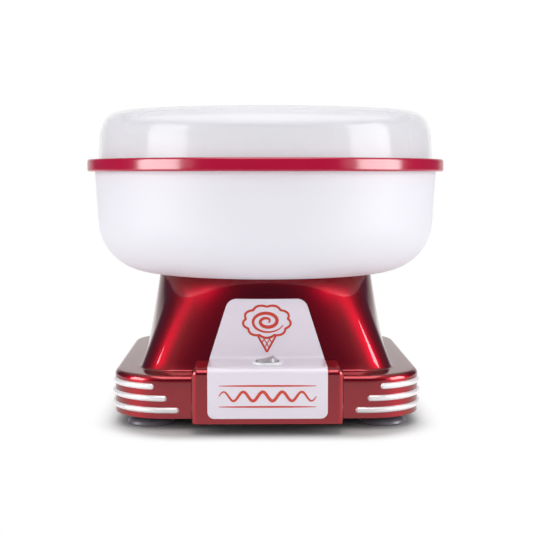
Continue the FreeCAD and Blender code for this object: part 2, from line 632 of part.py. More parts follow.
def bottom_screws():
    """The screws that hold the bottom plate to the housing, heads down."""
    length = PLATE_TOP - PLATE_BOTTOM + SCREW_BITE
    return [screw(x, y, PLATE_BOTTOM, length, downwards=False) for x, y in bottom_boss_places()]


# ---------------------------------------------------------------- switch
def switch_body():
    """The round bezel and the body below it, with the well that the rocker moves in."""
    bezel = disc(SWITCH_BEZEL_RADIUS, PANEL_LEDGE, BEZEL_TOP, 0, SWITCH_Y)
    bezel = bezel.makeFillet(SWITCH_BEZEL_HEIGHT / 2, edges_at(bezel, BEZEL_TOP))
    body = disc(SWITCH_BODY_RADIUS, SWITCH_BODY_BOTTOM, PANEL_LEDGE, 0, SWITCH_Y)
    well = disc(SWITCH_WELL_RADIUS, BEZEL_TOP - SWITCH_WELL_DEPTH, BEZEL_TOP + CUT_MARGIN, 0, SWITCH_Y)
    reach = SWITCH_BODY_RADIUS - SNUG_GAP
    pin_bore = rod(ROCKER_PIN_RADIUS + RUNNING_GAP, at(0, SWITCH_Y - reach, PIVOT_HEIGHT),
                   at(0, SWITCH_Y + reach, PIVOT_HEIGHT))
    return joined([bezel, body]).cut([well, pin_bore])


def switch_tabs():
    """The spade tabs under the switch."""
    low = SWITCH_BODY_BOTTOM - TAB_LENGTH
    wide = (-TAB_WIDTH / 2, TAB_WIDTH / 2)
    tabs = []
    for y in (SWITCH_Y - TAB_SPACING / 2, SWITCH_Y + TAB_SPACING / 2):
        tabs.append(block(wide, (y - TAB_THICKNESS / 2, y + TAB_THICKNESS / 2), (low, SWITCH_BODY_BOTTOM)))
    return tabs


def switch_rocker():
    """The rocker with its pivot pins, tilted so that its left side is pressed."""
    side = ROCKER_RADIUS
    corners = [(-side, -ROCKER_UNDERSIDE), (side, -ROCKER_UNDERSIDE), (side, ROCKER_SIDE_HEIGHT),
               (ROCKER_RIDGE_OFFSET, ROCKER_RIDGE_HEIGHT), (0, ROCKER_MIDDLE_HEIGHT),
               (-ROCKER_RIDGE_OFFSET, ROCKER_RIDGE_HEIGHT), (-side, ROCKER_SIDE_HEIGHT)]
    points = [at(x, -side, z) for x, z in corners]
    prism = Part.Face(Part.makePolygon(points + points[:1])).extrude(at(0, 2 * side, 0))
    rocker = prism.common(disc(ROCKER_RADIUS, -ROCKER_UNDERSIDE, ROCKER_RIDGE_HEIGHT))
    reach = SWITCH_BODY_RADIUS - 2 * SNUG_GAP
    rocker = rocker.fuse(rod(ROCKER_PIN_RADIUS, at(0, -reach, 0), at(0, reach, 0)))
    rocker.rotate(CENTRE, ALONG_Y, -ROCKER_TILT)
    rocker.translate(at(0, SWITCH_Y, PIVOT_HEIGHT))
    return rocker


# ---------------------------------------------------------------- neck and heater
def neck_collar():
    """The heat-proof neck on the tower's top, with the keys that stop the bowl from turning."""
    neck = tube(NECK_RADIUS, NECK_BORE_RADIUS, TOWER_TOP, NECK_TOP)
    spigot = tube(NECK_SPIGOT_RADIUS, NECK_BORE_RADIUS, TOWER_TOP - NECK_SPIGOT_DEPTH, TOWER_TOP)
    key = block((NECK_RADIUS - CUT_MARGIN, NECK_RADIUS + NECK_KEY_PROUD),
                (-NECK_KEY_WIDTH / 2, NECK_KEY_WIDTH / 2), (TOWER_TOP, TOWER_TOP + NECK_KEY_HEIGHT))
    holes = [screw_hole(x, y, NECK_TOP - SCREW_BITE, NECK_TOP + CUT_MARGIN) for x, y in pan_screw_places()]
    return joined([neck, spigot] + ring_of(key, NECK_KEY_COUNT)).cut(holes)


def pan_screw_places():
    step = 360.0 / PAN_SCREW_COUNT
    return [on_circle(PAN_SCREW_CIRCLE, step * (i + 0.5)) for i in range(PAN_SCREW_COUNT)]


def lead_places():
    """Where the heater's two ends go down through the insulator and the pan."""
    return [on_circle(COIL_CIRCLE, 270 + side * COIL_GAP_DEGREES / 2) for side in (-1, 1)]


def heater_pan():
    """The pressed pan that throws the heat up at the head."""
    inner = PAN_RADIUS - PAN_WALL
    pan = spun((SHAFT_HOLE_RADIUS, PAN_UNDERSIDE), (PAN_RADIUS, PAN_UNDERSIDE), (PAN_RADIUS, NECK_TOP),
               (PAN_FLANGE_RADIUS, NECK_TOP), (PAN_FLANGE_RADIUS, PAN_TOP), (inner, PAN_TOP),
               (inner, PAN_FLOOR), (SHAFT_HOLE_RADIUS, PAN_FLOOR))
    holes = [screw_hole(x, y, NECK_TOP - CUT_MARGIN, PAN_TOP + CUT_MARGIN) for x, y in pan_screw_places()]
    holes += [disc(COIL_RADIUS + LIFT_GAP, PAN_UNDERSIDE - CUT_MARGIN, PAN_FLOOR + CUT_MARGIN, x, y)
              for x, y in lead_places()]
    return pan.cut(holes)


def heater_insulator():
    """The ceramic disc on the pan's floor, with a groove that holds the heating coil."""
    body = tube(INSULATOR_RADIUS, SHAFT_HOLE_RADIUS, PAN_FLOOR, INSULATOR_TOP)
    half = COIL_RADIUS + SNUG_GAP
    groove_floor = INSULATOR_TOP - COIL_GROOVE_DEPTH
    groove = tube(COIL_CIRCLE + half, COIL_CIRCLE - half, groove_floor, INSULATOR_TOP + CUT_MARGIN)
    holes = [disc(half, PAN_FLOOR - CUT_MARGIN, INSULATOR_TOP + CUT_MARGIN, x, y) for x, y in lead_places()]
    return body.cut([groove] + holes)


def heating_coil():
    """The tubular heater: most of a circle, with its two ends turned down through the pan."""
    first = lead_places()[0]
    section = Part.Wire(Part.Circle(at(COIL_CIRCLE, 0, COIL_HEIGHT), ALONG_Y, COIL_RADIUS).toShape())
    arc = Part.Face(section).revolve(CENTRE, UP, 360 - COIL_GAP_DEGREES)
    arc.rotate(CENTRE, UP, 270 + COIL_GAP_DEGREES / 2)
    low = COIL_HEIGHT - COIL_LEAD_LENGTH
    pieces = [arc]
    for x, y in lead_places():
        pieces.append(disc(COIL_RADIUS, low, COIL_HEIGHT, x, y))
        pieces.append(Part.makeSphere(COIL_RADIUS, at(x, y, COIL_HEIGHT)))
    return pieces[0].fuse(pieces[1:])


def thermostat():
    """The heat cut-out, held against the pan's underside."""
    cap_bottom = PAN_UNDERSIDE - THERMOSTAT_HEIGHT
    cap = disc(THERMOSTAT_RADIUS, cap_bottom, PAN_UNDERSIDE, 0, THERMOSTAT_OFFSET)
    wide = (THERMOSTAT_OFFSET - TAB_WIDTH / 2, THERMOSTAT_OFFSET + TAB_WIDTH / 2)
    tabs = [block((x - TAB_THICKNESS / 2, x + TAB_THICKNESS / 2), wide, (THERMOSTAT_TAB_LOW, cap_bottom))
            for x in (-THERMOSTAT_TAB_OUT, THERMOSTAT_TAB_OUT)]
    return cap.fuse(tabs)


def thermal_fuse():
    """The one-shot fuse in its clip under the pan."""
    height = PAN_UNDERSIDE - CLIP_THICKNESS - FUSE_RADIUS - SNUG_GAP
    inner = FUSE_RADIUS + SNUG_GAP

    def bar(radius, length):
        return rod(radius, at(-FUSE_OFFSET, -length / 2, height), at(-FUSE_OFFSET, length / 2, height))

    clip = bar(inner + CLIP_THICKNESS, CLIP_WIDTH).cut(bar(inner, CLIP_WIDTH + CUT_MARGIN))
    return [bar(FUSE_RADIUS, FUSE_LENGTH), clip]


def pan_screws():
    return [screw(x, y, PAN_TOP, SCREW_BITE - CUT_MARGIN) for x, y in pan_screw_places()]


# ---------------------------------------------------------------- motor
def motor_bracket():
    """The round plate that hangs from the housing's bosses and carries the motor."""
    plate = tube(BRACKET_RADIUS, BUSH_RADIUS + SNUG_GAP, BRACKET_BOTTOM, BRACKET_TOP)
    low, high = BRACKET_BOTTOM - CUT_MARGIN, BRACKET_TOP + CUT_MARGIN
    holes = [screw_hole(x, y, low, high) for x, y in bracket_boss_places() + motor_screw_places()]
    holes.append(disc(LEAD_HOLE_RADIUS, low, high, -LEAD_RISER_OUT, TERMINAL_PITCH))
    return plate.cut(holes)


def bracket_grommets():
    """Soft washers between the bosses and the bracket."""
    high = BRACKET_TOP + GROMMET_THICKNESS
    return [tube(GROMMET_RADIUS, SCREW_RADIUS + SNUG_GAP, BRACKET_TOP, high, x, y)
            for x, y in bracket_boss_places()]


def bracket_screws():
    length = BRACKET_THICKNESS + GROMMET_THICKNESS + SCREW_BITE - CUT_MARGIN
    return [screw(x, y, BRACKET_BOTTOM, length, downwards=False) for x, y in bracket_boss_places()]


def motor_screw_places():
    return [on_circle(MOTOR_SCREW_CIRCLE, turn) for turn in (0, 180)]


def motor_screws():
    return [screw(x, y, BRACKET_TOP, BRACKET_THICKNESS + MOTOR_SCREW_LENGTH - CUT_MARGIN)
            for x, y in motor_screw_places()]


def motor_can():
    """The steel can that carries the magnets and the upper bush."""
    can = spun((CAN_INNER, CAN_BOTTOM), (MOTOR_RADIUS, CAN_BOTTOM), (MOTOR_RADIUS, BRACKET_BOTTOM),
               (BUSH_RADIUS, BRACKET_BOTTOM), (BUSH_RADIUS, CAN_CEILING), (CAN_INNER, CAN_CEILING))
    nuts = [disc(SCREW_HEAD_RADIUS, CAN_CEILING - MOTOR_SCREW_LENGTH, CAN_CEILING + SNUG_GAP, x, y)
            for x, y in motor_screw_places()]
    holes = [screw_hole(x, y, CAN_CEILING - MOTOR_SCREW_LENGTH - CUT_MARGIN, BRACKET_BOTTOM + CUT_MARGIN)
             for x, y in motor_screw_places()]
    return joined([can] + nuts).cut(holes)


def motor_end_cap():
    """The moulded cap that closes the can from below and holds the brushes and the lower bush."""
    inner = MOTOR_RADIUS - END_CAP_WALL
    floor = CAP_BOTTOM + END_CAP_WALL
    cap = spun((BUSH_RADIUS, CAP_BOTTOM), (MOTOR_RADIUS, CAP_BOTTOM), (MOTOR_RADIUS, CAN_BOTTOM),
               (inner, CAN_BOTTOM), (inner, floor), (BUSH_RADIUS, floor))
    guides = [turned(brush_guide(), turn) for turn in (0, 180)]
    return joined([cap] + guides)


def brush_heights():
    middle = (COMMUTATOR_BOTTOM + COMMUTATOR_TOP) / 2
    return middle - BRUSH_SIZE / 2, middle + BRUSH_SIZE / 2


def brush_guide():
    """The square channel in the end cap that a brush slides in."""
    low, high = brush_heights()
    start = COMMUTATOR_RADIUS + BRUSH_LENGTH / 2
    inside = BRUSH_SIZE / 2 + SNUG_GAP
    outside = inside + GUIDE_WALL
    cap_inner = MOTOR_RADIUS - END_CAP_WALL
    outer = block((start, cap_inner + SNUG_GAP), (-outside, outside),
                  (CAP_BOTTOM + END_CAP_WALL - SNUG_GAP, high + SNUG_GAP))
    channel = block((start - CUT_MARGIN, cap_inner - SNUG_GAP), (-inside, inside),
                    (low - SNUG_GAP, high + CUT_MARGIN))
    return outer.cut(channel)


def brushes():
    """The two carbon brushes that bear on the commutator."""
    low, high = brush_heights()
    start = COMMUTATOR_RADIUS + BRUSH_GAP
    brush = block((start, start + BRUSH_LENGTH), (-BRUSH_SIZE / 2, BRUSH_SIZE / 2), (low, high))
    return [turned(brush, turn) for turn in (0, 180)]


def shaft_bushes():
    """The sintered bushes at the can's top and in the end cap."""
    bore = SHAFT_RADIUS + RUNNING_GAP
    upper_top = BRACKET_TOP + CUT_MARGIN
    return [tube(BUSH_RADIUS, bore, upper_top - BUSH_LENGTH, upper_top),
            tube(BUSH_RADIUS, bore, CAP_BOTTOM, CAP_BOTTOM + BUSH_LENGTH / 2)]


def stator_magnets():
    """Two curved magnets inside the can."""
    low = (CAN_BOTTOM + CAN_CEILING - MAGNET_LENGTH) / 2
    high = low + MAGNET_LENGTH
    outer = MAGNET_INNER + MAGNET_THICKNESS
    corners = [at(MAGNET_INNER, 0, low), at(outer, 0, low), at(outer, 0, high), at(MAGNET_INNER, 0, high)]
    magnet = Part.Face(Part.makePolygon(corners + corners[:1])).revolve(CENTRE, UP, MAGNET_SPAN_DEGREES)
    return [turned(magnet, turn - MAGNET_SPAN_DEGREES / 2) for turn in (90, 270)]


# ---------------------------------------------------------------- rotor
def motor_shaft():
    """The shaft from the fan up to the head's hub, cross-drilled for the drive pin."""
    shaft = disc(SHAFT_RADIUS, SHAFT_BOTTOM, SHAFT_TOP)
    shaft = shaft.makeChamfer(SHAFT_RADIUS / 5, edges_at(shaft, SHAFT_TOP))
    reach = SHAFT_RADIUS + CUT_MARGIN
    return shaft.cut(rod(PIN_RADIUS, at(-reach, 0, PIN_HEIGHT), at(reach, 0, PIN_HEIGHT)))


def drive_pin():
    """The cross pin that turns the head."""
    return rod(PIN_RADIUS, at(-PIN_LENGTH / 2, 0, PIN_HEIGHT), at(PIN_LENGTH / 2, 0, PIN_HEIGHT))


def armature_core():
    """The laminated core with its winding slots."""
    top = ARMATURE_BOTTOM + ARMATURE_LENGTH
    core = tube(ARMATURE_RADIUS, SHAFT_RADIUS, ARMATURE_BOTTOM, top)
    half = ARMATURE_SLOT_WIDTH / 2
    slot = block((ARMATURE_RADIUS - ARMATURE_SLOT_DEPTH, ARMATURE_RADIUS + CUT_MARGIN), (-half, half),
                 (ARMATURE_BOTTOM - CUT_MARGIN, top + CUT_MARGIN))
    return core.cut(ring_of(slot, ARMATURE_SLOT_COUNT))


def armature_windings():
    """The copper at both ends of the core."""
    top = ARMATURE_BOTTOM + ARMATURE_LENGTH
    inner = COMMUTATOR_RADIUS
    return [tube(WINDING_RADIUS, inner, ARMATURE_BOTTOM - WINDING_HEIGHT, ARMATURE_BOTTOM),
            tube(WINDING_RADIUS, inner, top, top + WINDING_HEIGHT)]


def commutator():
    return tube(COMMUTATOR_RADIUS, SHAFT_RADIUS, COMMUTATOR_BOTTOM, ARMATURE_BOTTOM)


def cooling_fan():
    """The fan on the shaft's lower end that draws air up through the bottom plate."""
    plate = tube(FAN_RADIUS, SHAFT_RADIUS, FAN_TOP - FAN_PLATE, FAN_TOP)
    hub = tube(FAN_HUB_RADIUS, SHAFT_RADIUS, FAN_TOP - FAN_HEIGHT, FAN_TOP)
    blade = block((FAN_HUB_RADIUS, FAN_RADIUS), (-FAN_BLADE_THICKNESS / 2, FAN_BLADE_THICKNESS / 2),
                  (FAN_TOP - FAN_HEIGHT, FAN_TOP - FAN_PLATE / 2))
    blade.rotate(at(FAN_HUB_RADIUS, 0, 0), UP, FAN_BLADE_LEAN)
    blade = blade.common(disc(FAN_RADIUS, FAN_TOP - FAN_HEIGHT, FAN_TOP))
    return joined([plate, hub] + ring_of(blade, FAN_BLADE_COUNT))


# ---------------------------------------------------------------- sugar head
def head_screw_places():
    step = 360.0 / HEAD_SCREW_COUNT
    return [on_circle(HEAD_SCREW_CIRCLE, step * (i + 0.5)) for i in range(HEAD_SCREW_COUNT)]


def head_base():
    """The head's floor, low wall and hub; the hub's slot drops over the drive pin."""
    wall_top = HEAD_BOTTOM + HEAD_SKIRT_HEIGHT
    inner = HEAD_RADIUS - HEAD_SHEET
    dish = spun((SHAFT_RADIUS, HEAD_BOTTOM), (HEAD_RADIUS, HEAD_BOTTOM), (HEAD_RADIUS, wall_top),
                (inner, wall_top), (inner, HEAD_FLOOR), (SHAFT_RADIUS, HEAD_FLOOR))
    hub = disc(HEAD_HUB_RADIUS, HEAD_BOTTOM, SHAFT_TOP + HEAD_SHEET)
    post_top = SCREEN_TOP - SNUG_GAP
    posts = [disc(HEAD_POST_RADIUS, HEAD_BOTTOM, post_top, x, y) for x, y in head_screw_places()]
    bore = disc(SHAFT_RADIUS + PUSH_GAP, HEAD_BOTTOM - CUT_MARGIN, SHAFT_TOP + SNUG_GAP)
    half = PIN_RADIUS + PIN_SLOT_GAP
    reach = PIN_LENGTH / 2 + PIN_SLOT_GAP
    slot = block((-reach, reach), (-half, half), (HEAD_BOTTOM - CUT_MARGIN, PIN_HEIGHT + half))
    holes = [screw_hole(x, y, post_top - SCREW_BITE, SCREEN_TOP) for x, y in head_screw_places()]
    return joined([dish, hub] + posts).cut([bore, slot] + holes)


def head_screen():
    """The slotted band that the melted sugar is thrown through."""
    band = tube(SCREEN_RADIUS, SCREEN_RADIUS - SCREEN_THICKNESS, HEAD_FLOOR, SCREEN_TOP)
    slot = block((SCREEN_RADIUS - SCREEN_THICKNESS - CUT_MARGIN, SCREEN_RADIUS + CUT_MARGIN),
                 (-SCREEN_SLOT_WIDTH / 2, SCREEN_SLOT_WIDTH / 2),
                 (HEAD_BOTTOM + HEAD_SKIRT_HEIGHT, HEAD_TOP - HEAD_SKIRT_HEIGHT))
    return band.cut(Part.makeCompound(ring_of(slot, SCREEN_SLOT_COUNT)))


def head_cap():
    """The head's lid, with a skirt over the band and a funnel for the sugar."""
    low = HEAD_TOP - FUNNEL_DEPTH
    skirt_low = HEAD_TOP - HEAD_SKIRT_HEIGHT
    inner = HEAD_RADIUS - HEAD_SHEET
    cap = spun((FUNNEL_TOP_RADIUS, HEAD_TOP), (HEAD_RADIUS, HEAD_TOP), (HEAD_RADIUS, skirt_low),
               (inner, skirt_low), (inner, SCREEN_TOP), (FUNNEL_TOP_RADIUS, SCREEN_TOP),
               (FUNNEL_BOTTOM_RADIUS, low), (FUNNEL_BOTTOM_RADIUS - HEAD_SHEET, low))
    holes = [screw_hole(x, y, SCREEN_TOP - CUT_MARGIN, HEAD_TOP + CUT_MARGIN)
             for x, y in head_screw_places()]
    return cap.cut(holes)


def head_screws():
    return [screw(x, y, HEAD_TOP, SCREW_BITE) for x, y in head_screw_places()]


# ---------------------------------------------------------------- bowl, rim ring and shield
def bowl_wall_points(inset):
    """The rim, wall foot, corner middle and corner end of the bowl's wall, taken in by inset."""
    draft = math.radians(BOWL_DRAFT)
    radius = BOWL_CORNER - inset
    centre_z = BOWL_BOTTOM + BOWL_CORNER
    foot_z = centre_z - BOWL_CORNER * math.sin(draft)
    foot_r = BOWL_RIM_RADIUS - (BOWL_RIM_TOP - foot_z) * math.tan(draft)
    centre_r = foot_r - BOWL_CORNER * math.cos(draft)
    turns = (-draft, -(math.pi / 2 + draft) / 2, -math.pi / 2)
    foot, middle, end = [(centre_r + radius * math.cos(t), centre_z + radius * math.sin(t)) for t in turns]
    rim = (foot[0] + (BOWL_RIM_TOP - foot[1]) * math.tan(draft), BOWL_RIM_TOP)
    return rim, foot, middle, end


def bowl():
    """The white bowl: a drafted wall, a wide round corner, a flat floor and a collar over the neck."""
    outer_rim, outer_foot, outer_middle, outer_end = bowl_wall_points(0)
    inner_rim, inner_foot, inner_middle, inner_end = bowl_wall_points(BOWL_WALL)
    collar_outer = BOWL_COLLAR_INNER + BOWL_WALL
    collar_top = BOWL_BOTTOM + BOWL_COLLAR_HEIGHT
    shell = spun((BOWL_COLLAR_INNER, BOWL_BOTTOM), outer_end, (outer_middle, outer_foot), outer_rim,
                 inner_rim, inner_foot, (inner_middle, inner_end), (collar_outer, BOWL_BOTTOM + BOWL_WALL),
                 (collar_outer, collar_top), (BOWL_COLLAR_INNER, collar_top))
    notch_reach = NECK_RADIUS + NECK_KEY_PROUD + LIFT_GAP
    half = NECK_KEY_WIDTH / 2 + LIFT_GAP
    notch = block((NECK_RADIUS - CUT_MARGIN, notch_reach), (-half, half),
                  (BOWL_BOTTOM - CUT_MARGIN, TOWER_TOP + NECK_KEY_HEIGHT + LIFT_GAP))
    return shell.cut(ring_of(notch, NECK_KEY_COUNT))


def rim_ring():
    """The coloured ring on the bowl's rim, with a ledge that the shield stands on."""
    recess = RING_RECESS_RADIUS
    skirt_inner = BOWL_RIM_RADIUS + SNUG_GAP
    ring = spun((skirt_inner, RING_BOTTOM), (RING_RADIUS, RING_BOTTOM), (RING_RADIUS, RING_TOP),
                (recess, RING_TOP), (recess, RING_LEDGE_TOP), (RING_LEDGE_RADIUS, RING_LEDGE_TOP),
                (RING_LEDGE_RADIUS, BOWL_RIM_TOP), (skirt_inner, BOWL_RIM_TOP))
    level = edges_at(ring, RING_BOTTOM) + edges_at(ring, RING_TOP)
    outside = [e for e in level if abs(e.BoundBox.XMax - RING_RADIUS) < TOUCH]
    return ring.makeFillet(RING_EDGE_ROUND, outside)


def shoulder_edge(inset):
    """The shield's shoulder, a quarter of an ellipse from the skirt's top to the crest."""
    radius = SHIELD_SHOULDER_RADIUS - inset
    crest = SHIELD_TOP - inset
    curve = Part.BezierCurve()
    curve.setPoles([at(radius, 0, SHIELD_SHOULDER_HEIGHT), at(radius, 0, crest),
                    at(SHIELD_CREST_RADIUS, 0, crest)])
    curve.setWeight(2, math.sqrt(0.5))
    return curve.toShape()


def lip_edge(radius):
    """The rolled lip, a quarter circle from the crest inwards and down."""
    low = SHIELD_TOP - SHIELD_LIP_RADIUS
    lean = radius * math.sqrt(0.5)
    return Part.Arc(at(SHIELD_CREST_RADIUS, 0, low + radius), at(SHIELD_CREST_RADIUS - lean, 0, low + lean),
                    at(SHIELD_CREST_RADIUS - radius, 0, low)).toShape()


def splash_shield():
    """The clear shield: a leaning skirt, a round shoulder and a lip rolled inwards."""
    lip_low = SHIELD_TOP - SHIELD_LIP_RADIUS - SHIELD_LIP_DROP
    lip_high = SHIELD_TOP - SHIELD_LIP_RADIUS
    lip_outer = SHIELD_CREST_RADIUS - SHIELD_LIP_RADIUS
    lip_inner = lip_outer + SHIELD_WALL
    foot_inner = SHIELD_FOOT_RADIUS - SHIELD_WALL
    sides = [Part.makeLine(at(SHIELD_FOOT_RADIUS - inset, 0, SHIELD_FOOT),
                           at(SHIELD_SHOULDER_RADIUS - inset, 0, SHIELD_SHOULDER_HEIGHT))
             for inset in (0, SHIELD_WALL)]
    ends = [Part.makeLine(at(r, 0, lip_low), at(r, 0, lip_high)) for r in (lip_outer, lip_inner)]
    foot = Part.makeLine(at(SHIELD_FOOT_RADIUS, 0, SHIELD_FOOT), at(foot_inner, 0, SHIELD_FOOT))
    lip_end = Part.makeLine(at(lip_outer, 0, lip_low), at(lip_inner, 0, lip_low))
    curves = [shoulder_edge(0), shoulder_edge(SHIELD_WALL), lip_edge(SHIELD_LIP_RADIUS),
              lip_edge(SHIELD_LIP_RADIUS - SHIELD_WALL)]
    loop = Part.__sortEdges__(sides + ends + curves + [foot, lip_end])
    return Part.Face(Part.Wire(loop)).revolve(CENTRE, UP, 360)


# ---------------------------------------------------------------- electrical pieces
def rectifier_board():
    """The small board that feeds the motor."""
    across, along = BOARD_LENGTH / 2, BOARD_WIDTH / 2
    board = block((-across, across), (BOARD_FROM_AXIS - along, BOARD_FROM_AXIS + along),
                  (BOARD_BOTTOM, BOARD_TOP))
    return board.cut([screw_hole(x, y, BOARD_BOTTOM - CUT_MARGIN, BOARD_TOP + CUT_MARGIN)
                      for x, y in board_places()])


def board_components():
    """Four diodes in a row and a smoothing capacitor."""
    first = -DIODE_PITCH * (DIODE_COUNT + 1) / 2
    pieces = []
    for i in range(DIODE_COUNT):
        x = first + DIODE_PITCH * i
        height = BOARD_TOP + DIODE_RADIUS
        start = at(x, BOARD_FROM_AXIS - DIODE_LENGTH / 2, height)
        pieces.append(rod(DIODE_RADIUS, start, at(x, BOARD_FROM_AXIS + DIODE_LENGTH / 2, height)))
    spot = first + DIODE_PITCH * DIODE_COUNT + CAPACITOR_RADIUS
    pieces.append(disc(CAPACITOR_RADIUS, BOARD_TOP, BOARD_TOP + CAPACITOR_HEIGHT, spot, BOARD_FROM_AXIS))
    return pieces


def board_screws():
    length = BOARD_THICKNESS + BOARD_STANDOFF
    return [screw(x, y, BOARD_TOP, length) for x, y in board_places()]


def terminal_block():
    """The screw terminals where the mains lead ends, on the bottom plate."""
    middle = -TERMINAL_FROM_AXIS
    body = block((middle - TERMINAL_WIDTH / 2, middle + TERMINAL_WIDTH / 2),
                 (-TERMINAL_LENGTH / 2, TERMINAL_LENGTH / 2), (PLATE_TOP, PLATE_TOP + TERMINAL_HEIGHT))
    wells = []
    for i in range(TERMINAL_WAYS):
        y = TERMINAL_PITCH * (i - (TERMINAL_WAYS - 1) / 2)
        wells.append(disc(TERMINAL_SCREW_RADIUS, PLATE_TOP + TERMINAL_HEIGHT / 2,
                          PLATE_TOP + TERMINAL_HEIGHT + CUT_MARGIN, middle, y))
        wells.append(rod(TERMINAL_HOLE_RADIUS, at(middle - TERMINAL_WIDTH, y, TERMINAL_HOLE_HEIGHT),
                         at(middle + TERMINAL_WIDTH, y, TERMINAL_HOLE_HEIGHT)))
    return body.cut(wells)


def cord_gland():
    """The bush in the back wall that the mains lead passes through."""
    def bar(radius, start, end):
        return rod(radius, at(0, start, GLAND_HEIGHT), at(0, end, GLAND_HEIGHT))

    barrel = bar(GLAND_RADIUS, GLAND_INSIDE, GLAND_OUTSIDE)
    flange = bar(GLAND_FLANGE_RADIUS, PLINTH_HALF_WIDTH, GLAND_OUTSIDE)
    nut = bar(GLAND_FLANGE_RADIUS, PLINTH_INNER - GLAND_NUT_THICKNESS, PLINTH_INNER)
    return joined([barrel, flange, nut]).cut(bar(GLAND_BORE_RADIUS, GLAND_INSIDE - CUT_MARGIN,
                                                 GLAND_OUTSIDE + CUT_MARGIN))


def lead(*points):
    """A round lead: straight runs joined by tangent arcs of one radius."""
    edges = []
    start = points[0]
    for before, corner, after in zip(points, points[1:], points[2:]):
        arriving = (corner - before).normalize()
        leaving = (after - corner).normalize()
        half_turn = arriving.getAngle(leaving) / 2
        reach = LEAD_BEND * math.tan(half_turn)
        inwards = (leaving - arriving).normalize()
        middle = corner + inwards * (LEAD_BEND / math.cos(half_turn) - LEAD_BEND)
        first, last = corner - arriving * reach, corner + leaving * reach
        edges += [Part.makeLine(start, first), Part.Arc(first, middle, last).toShape()]
        start = last
    edges.append(Part.makeLine(start, points[-1]))
    section = Part.Wire(Part.Circle(points[0], points[1] - points[0], LEAD_RADIUS).toShape())
    return Part.Wire(edges).makePipeShell([section], True, True)


def terminal_mouth(way):
    """Where a lead ends inside the terminal block; way is -1, 0 or 1."""
    return at(-TERMINAL_FROM_AXIS + LEAD_RADIUS, TERMINAL_PITCH * way, TERMINAL_HOLE_HEIGHT)


def switch_leads():
    """The two leads from the terminal block to the switch's tabs."""
    leads = []
    for way, tab_side in ((-1, -1), (0, 1)):
        tab_y = SWITCH_Y + tab_side * TAB_SPACING / 2
        mouth = terminal_mouth(way)
        turn_x = -(FAN_RADIUS + TERMINAL_PITCH - tab_side * TAB_SPACING / 2)
        leads.append(lead(mouth, at(turn_x, mouth.y, mouth.z), at(turn_x, tab_y / 2, mouth.z),
                          at(0, tab_y, mouth.z), at(0, tab_y, SWITCH_BODY_BOTTOM - TAB_LENGTH)))
    return leads


def heater_leads():
    """A lead from the terminal block up beside the motor to the heater, and one on to the cut-out."""
    mouth = terminal_mouth(1)
    (near_x, near_y), (far_x, far_y) = lead_places()
    height = HEATER_LEAD_HEIGHT
    riser = lead(mouth, at(-LEAD_RISER_OUT, mouth.y, mouth.z), at(-LEAD_RISER_OUT, mouth.y, height),
                 at(near_x, near_y, height))
    link_end = at(THERMOSTAT_TAB_OUT, THERMOSTAT_OFFSET, THERMOSTAT_TAB_LOW - LEAD_RADIUS - SNUG_GAP)
    link = lead(at(far_x, far_y, height), at(COIL_CIRCLE, 0, height), link_end)
    return [riser, link]


def motor_leads():
    """The two leads from the rectifier board to the motor's end cap."""
    foot_y = BOARD_FROM_AXIS - BOARD_WIDTH / 2 + BOARD_SCREW_INSET
    height = CAP_BOTTOM + END_CAP_LENGTH / 2
    leads = []
    for x in (-MOTOR_LEAD_ACROSS, MOTOR_LEAD_ACROSS):
        cap_y = math.sqrt(MOTOR_RADIUS ** 2 - (MOTOR_LEAD_ACROSS - LEAD_RADIUS) ** 2)
        leads.append(lead(at(x, foot_y, BOARD_TOP), at(x, foot_y, height), at(x, cap_y, height)))
    return leads


# ---------------------------------------------------------------- the whole machine
def all_parts():
    """Every node's name with its solid or solids."""
    parts = {
        "base_housing": base_housing(), "fascia_panel": fascia_panel(), "bottom_plate": bottom_plate(),
        "bottom_screws": bottom_screws(), "switch_body": switch_body(), "switch_tabs": switch_tabs(),
        "switch_rocker": switch_rocker(), "neck_collar": neck_collar(), "heater_pan": heater_pan(),
        "heater_insulator": heater_insulator(), "heating_coil": heating_coil(),
        "thermostat": thermostat(), "thermal_fuse": thermal_fuse(), "pan_screws": pan_screws(),
        "motor_bracket": motor_bracket(), "bracket_grommets": bracket_grommets(),
        "bracket_screws": bracket_screws(), "motor_can": motor_can(), "motor_end_cap": motor_end_cap(),
        "motor_screws": motor_screws(), "motor_brushes": brushes(), "shaft_bushes": shaft_bushes(),
        "stator_magnets": stator_magnets(), "motor_shaft": motor_shaft(), "drive_pin": drive_pin(),
        "armature_core": armature_core(), "armature_windings": armature_windings(),
        "commutator": commutator(), "cooling_fan": cooling_fan(), "head_base": head_base(),
        "head_screen": head_screen(), "head_cap": head_cap(), "head_screws": head_screws(),
        "bowl": bowl(), "rim_ring": rim_ring(), "splash_shield": splash_shield(),
        "rectifier_board": rectifier_board(), "board_components": board_components(),
        "board_screws": board_screws(), "terminal_block": terminal_block(), "cord_gland": cord_gland(),
        "switch_leads": switch_leads(), "heater_leads": heater_leads(), "motor_leads": motor_leads(),
    }
    for name, (x, y) in foot_places().items():
        parts["foot_" + name] = suction_foot(x, y)
    for side_name, side in (("left", -1), ("right", 1)):
        for row, (rise, gap) in TRIM_ROWS.items():
            trim = corner_trim(side, PLINTH_BOTTOM + rise, CONSOLE_HALF_WIDTH + gap)
            parts["trim_" + side_name + "_" + row] = trim
    return parts


os.makedirs("parts", exist_ok=True)
for name, shape in all_parts().items():
    if isinstance(shape, list):
        shape = Part.makeCompound(shape)
    shape.exportStep("parts/" + name + ".step")
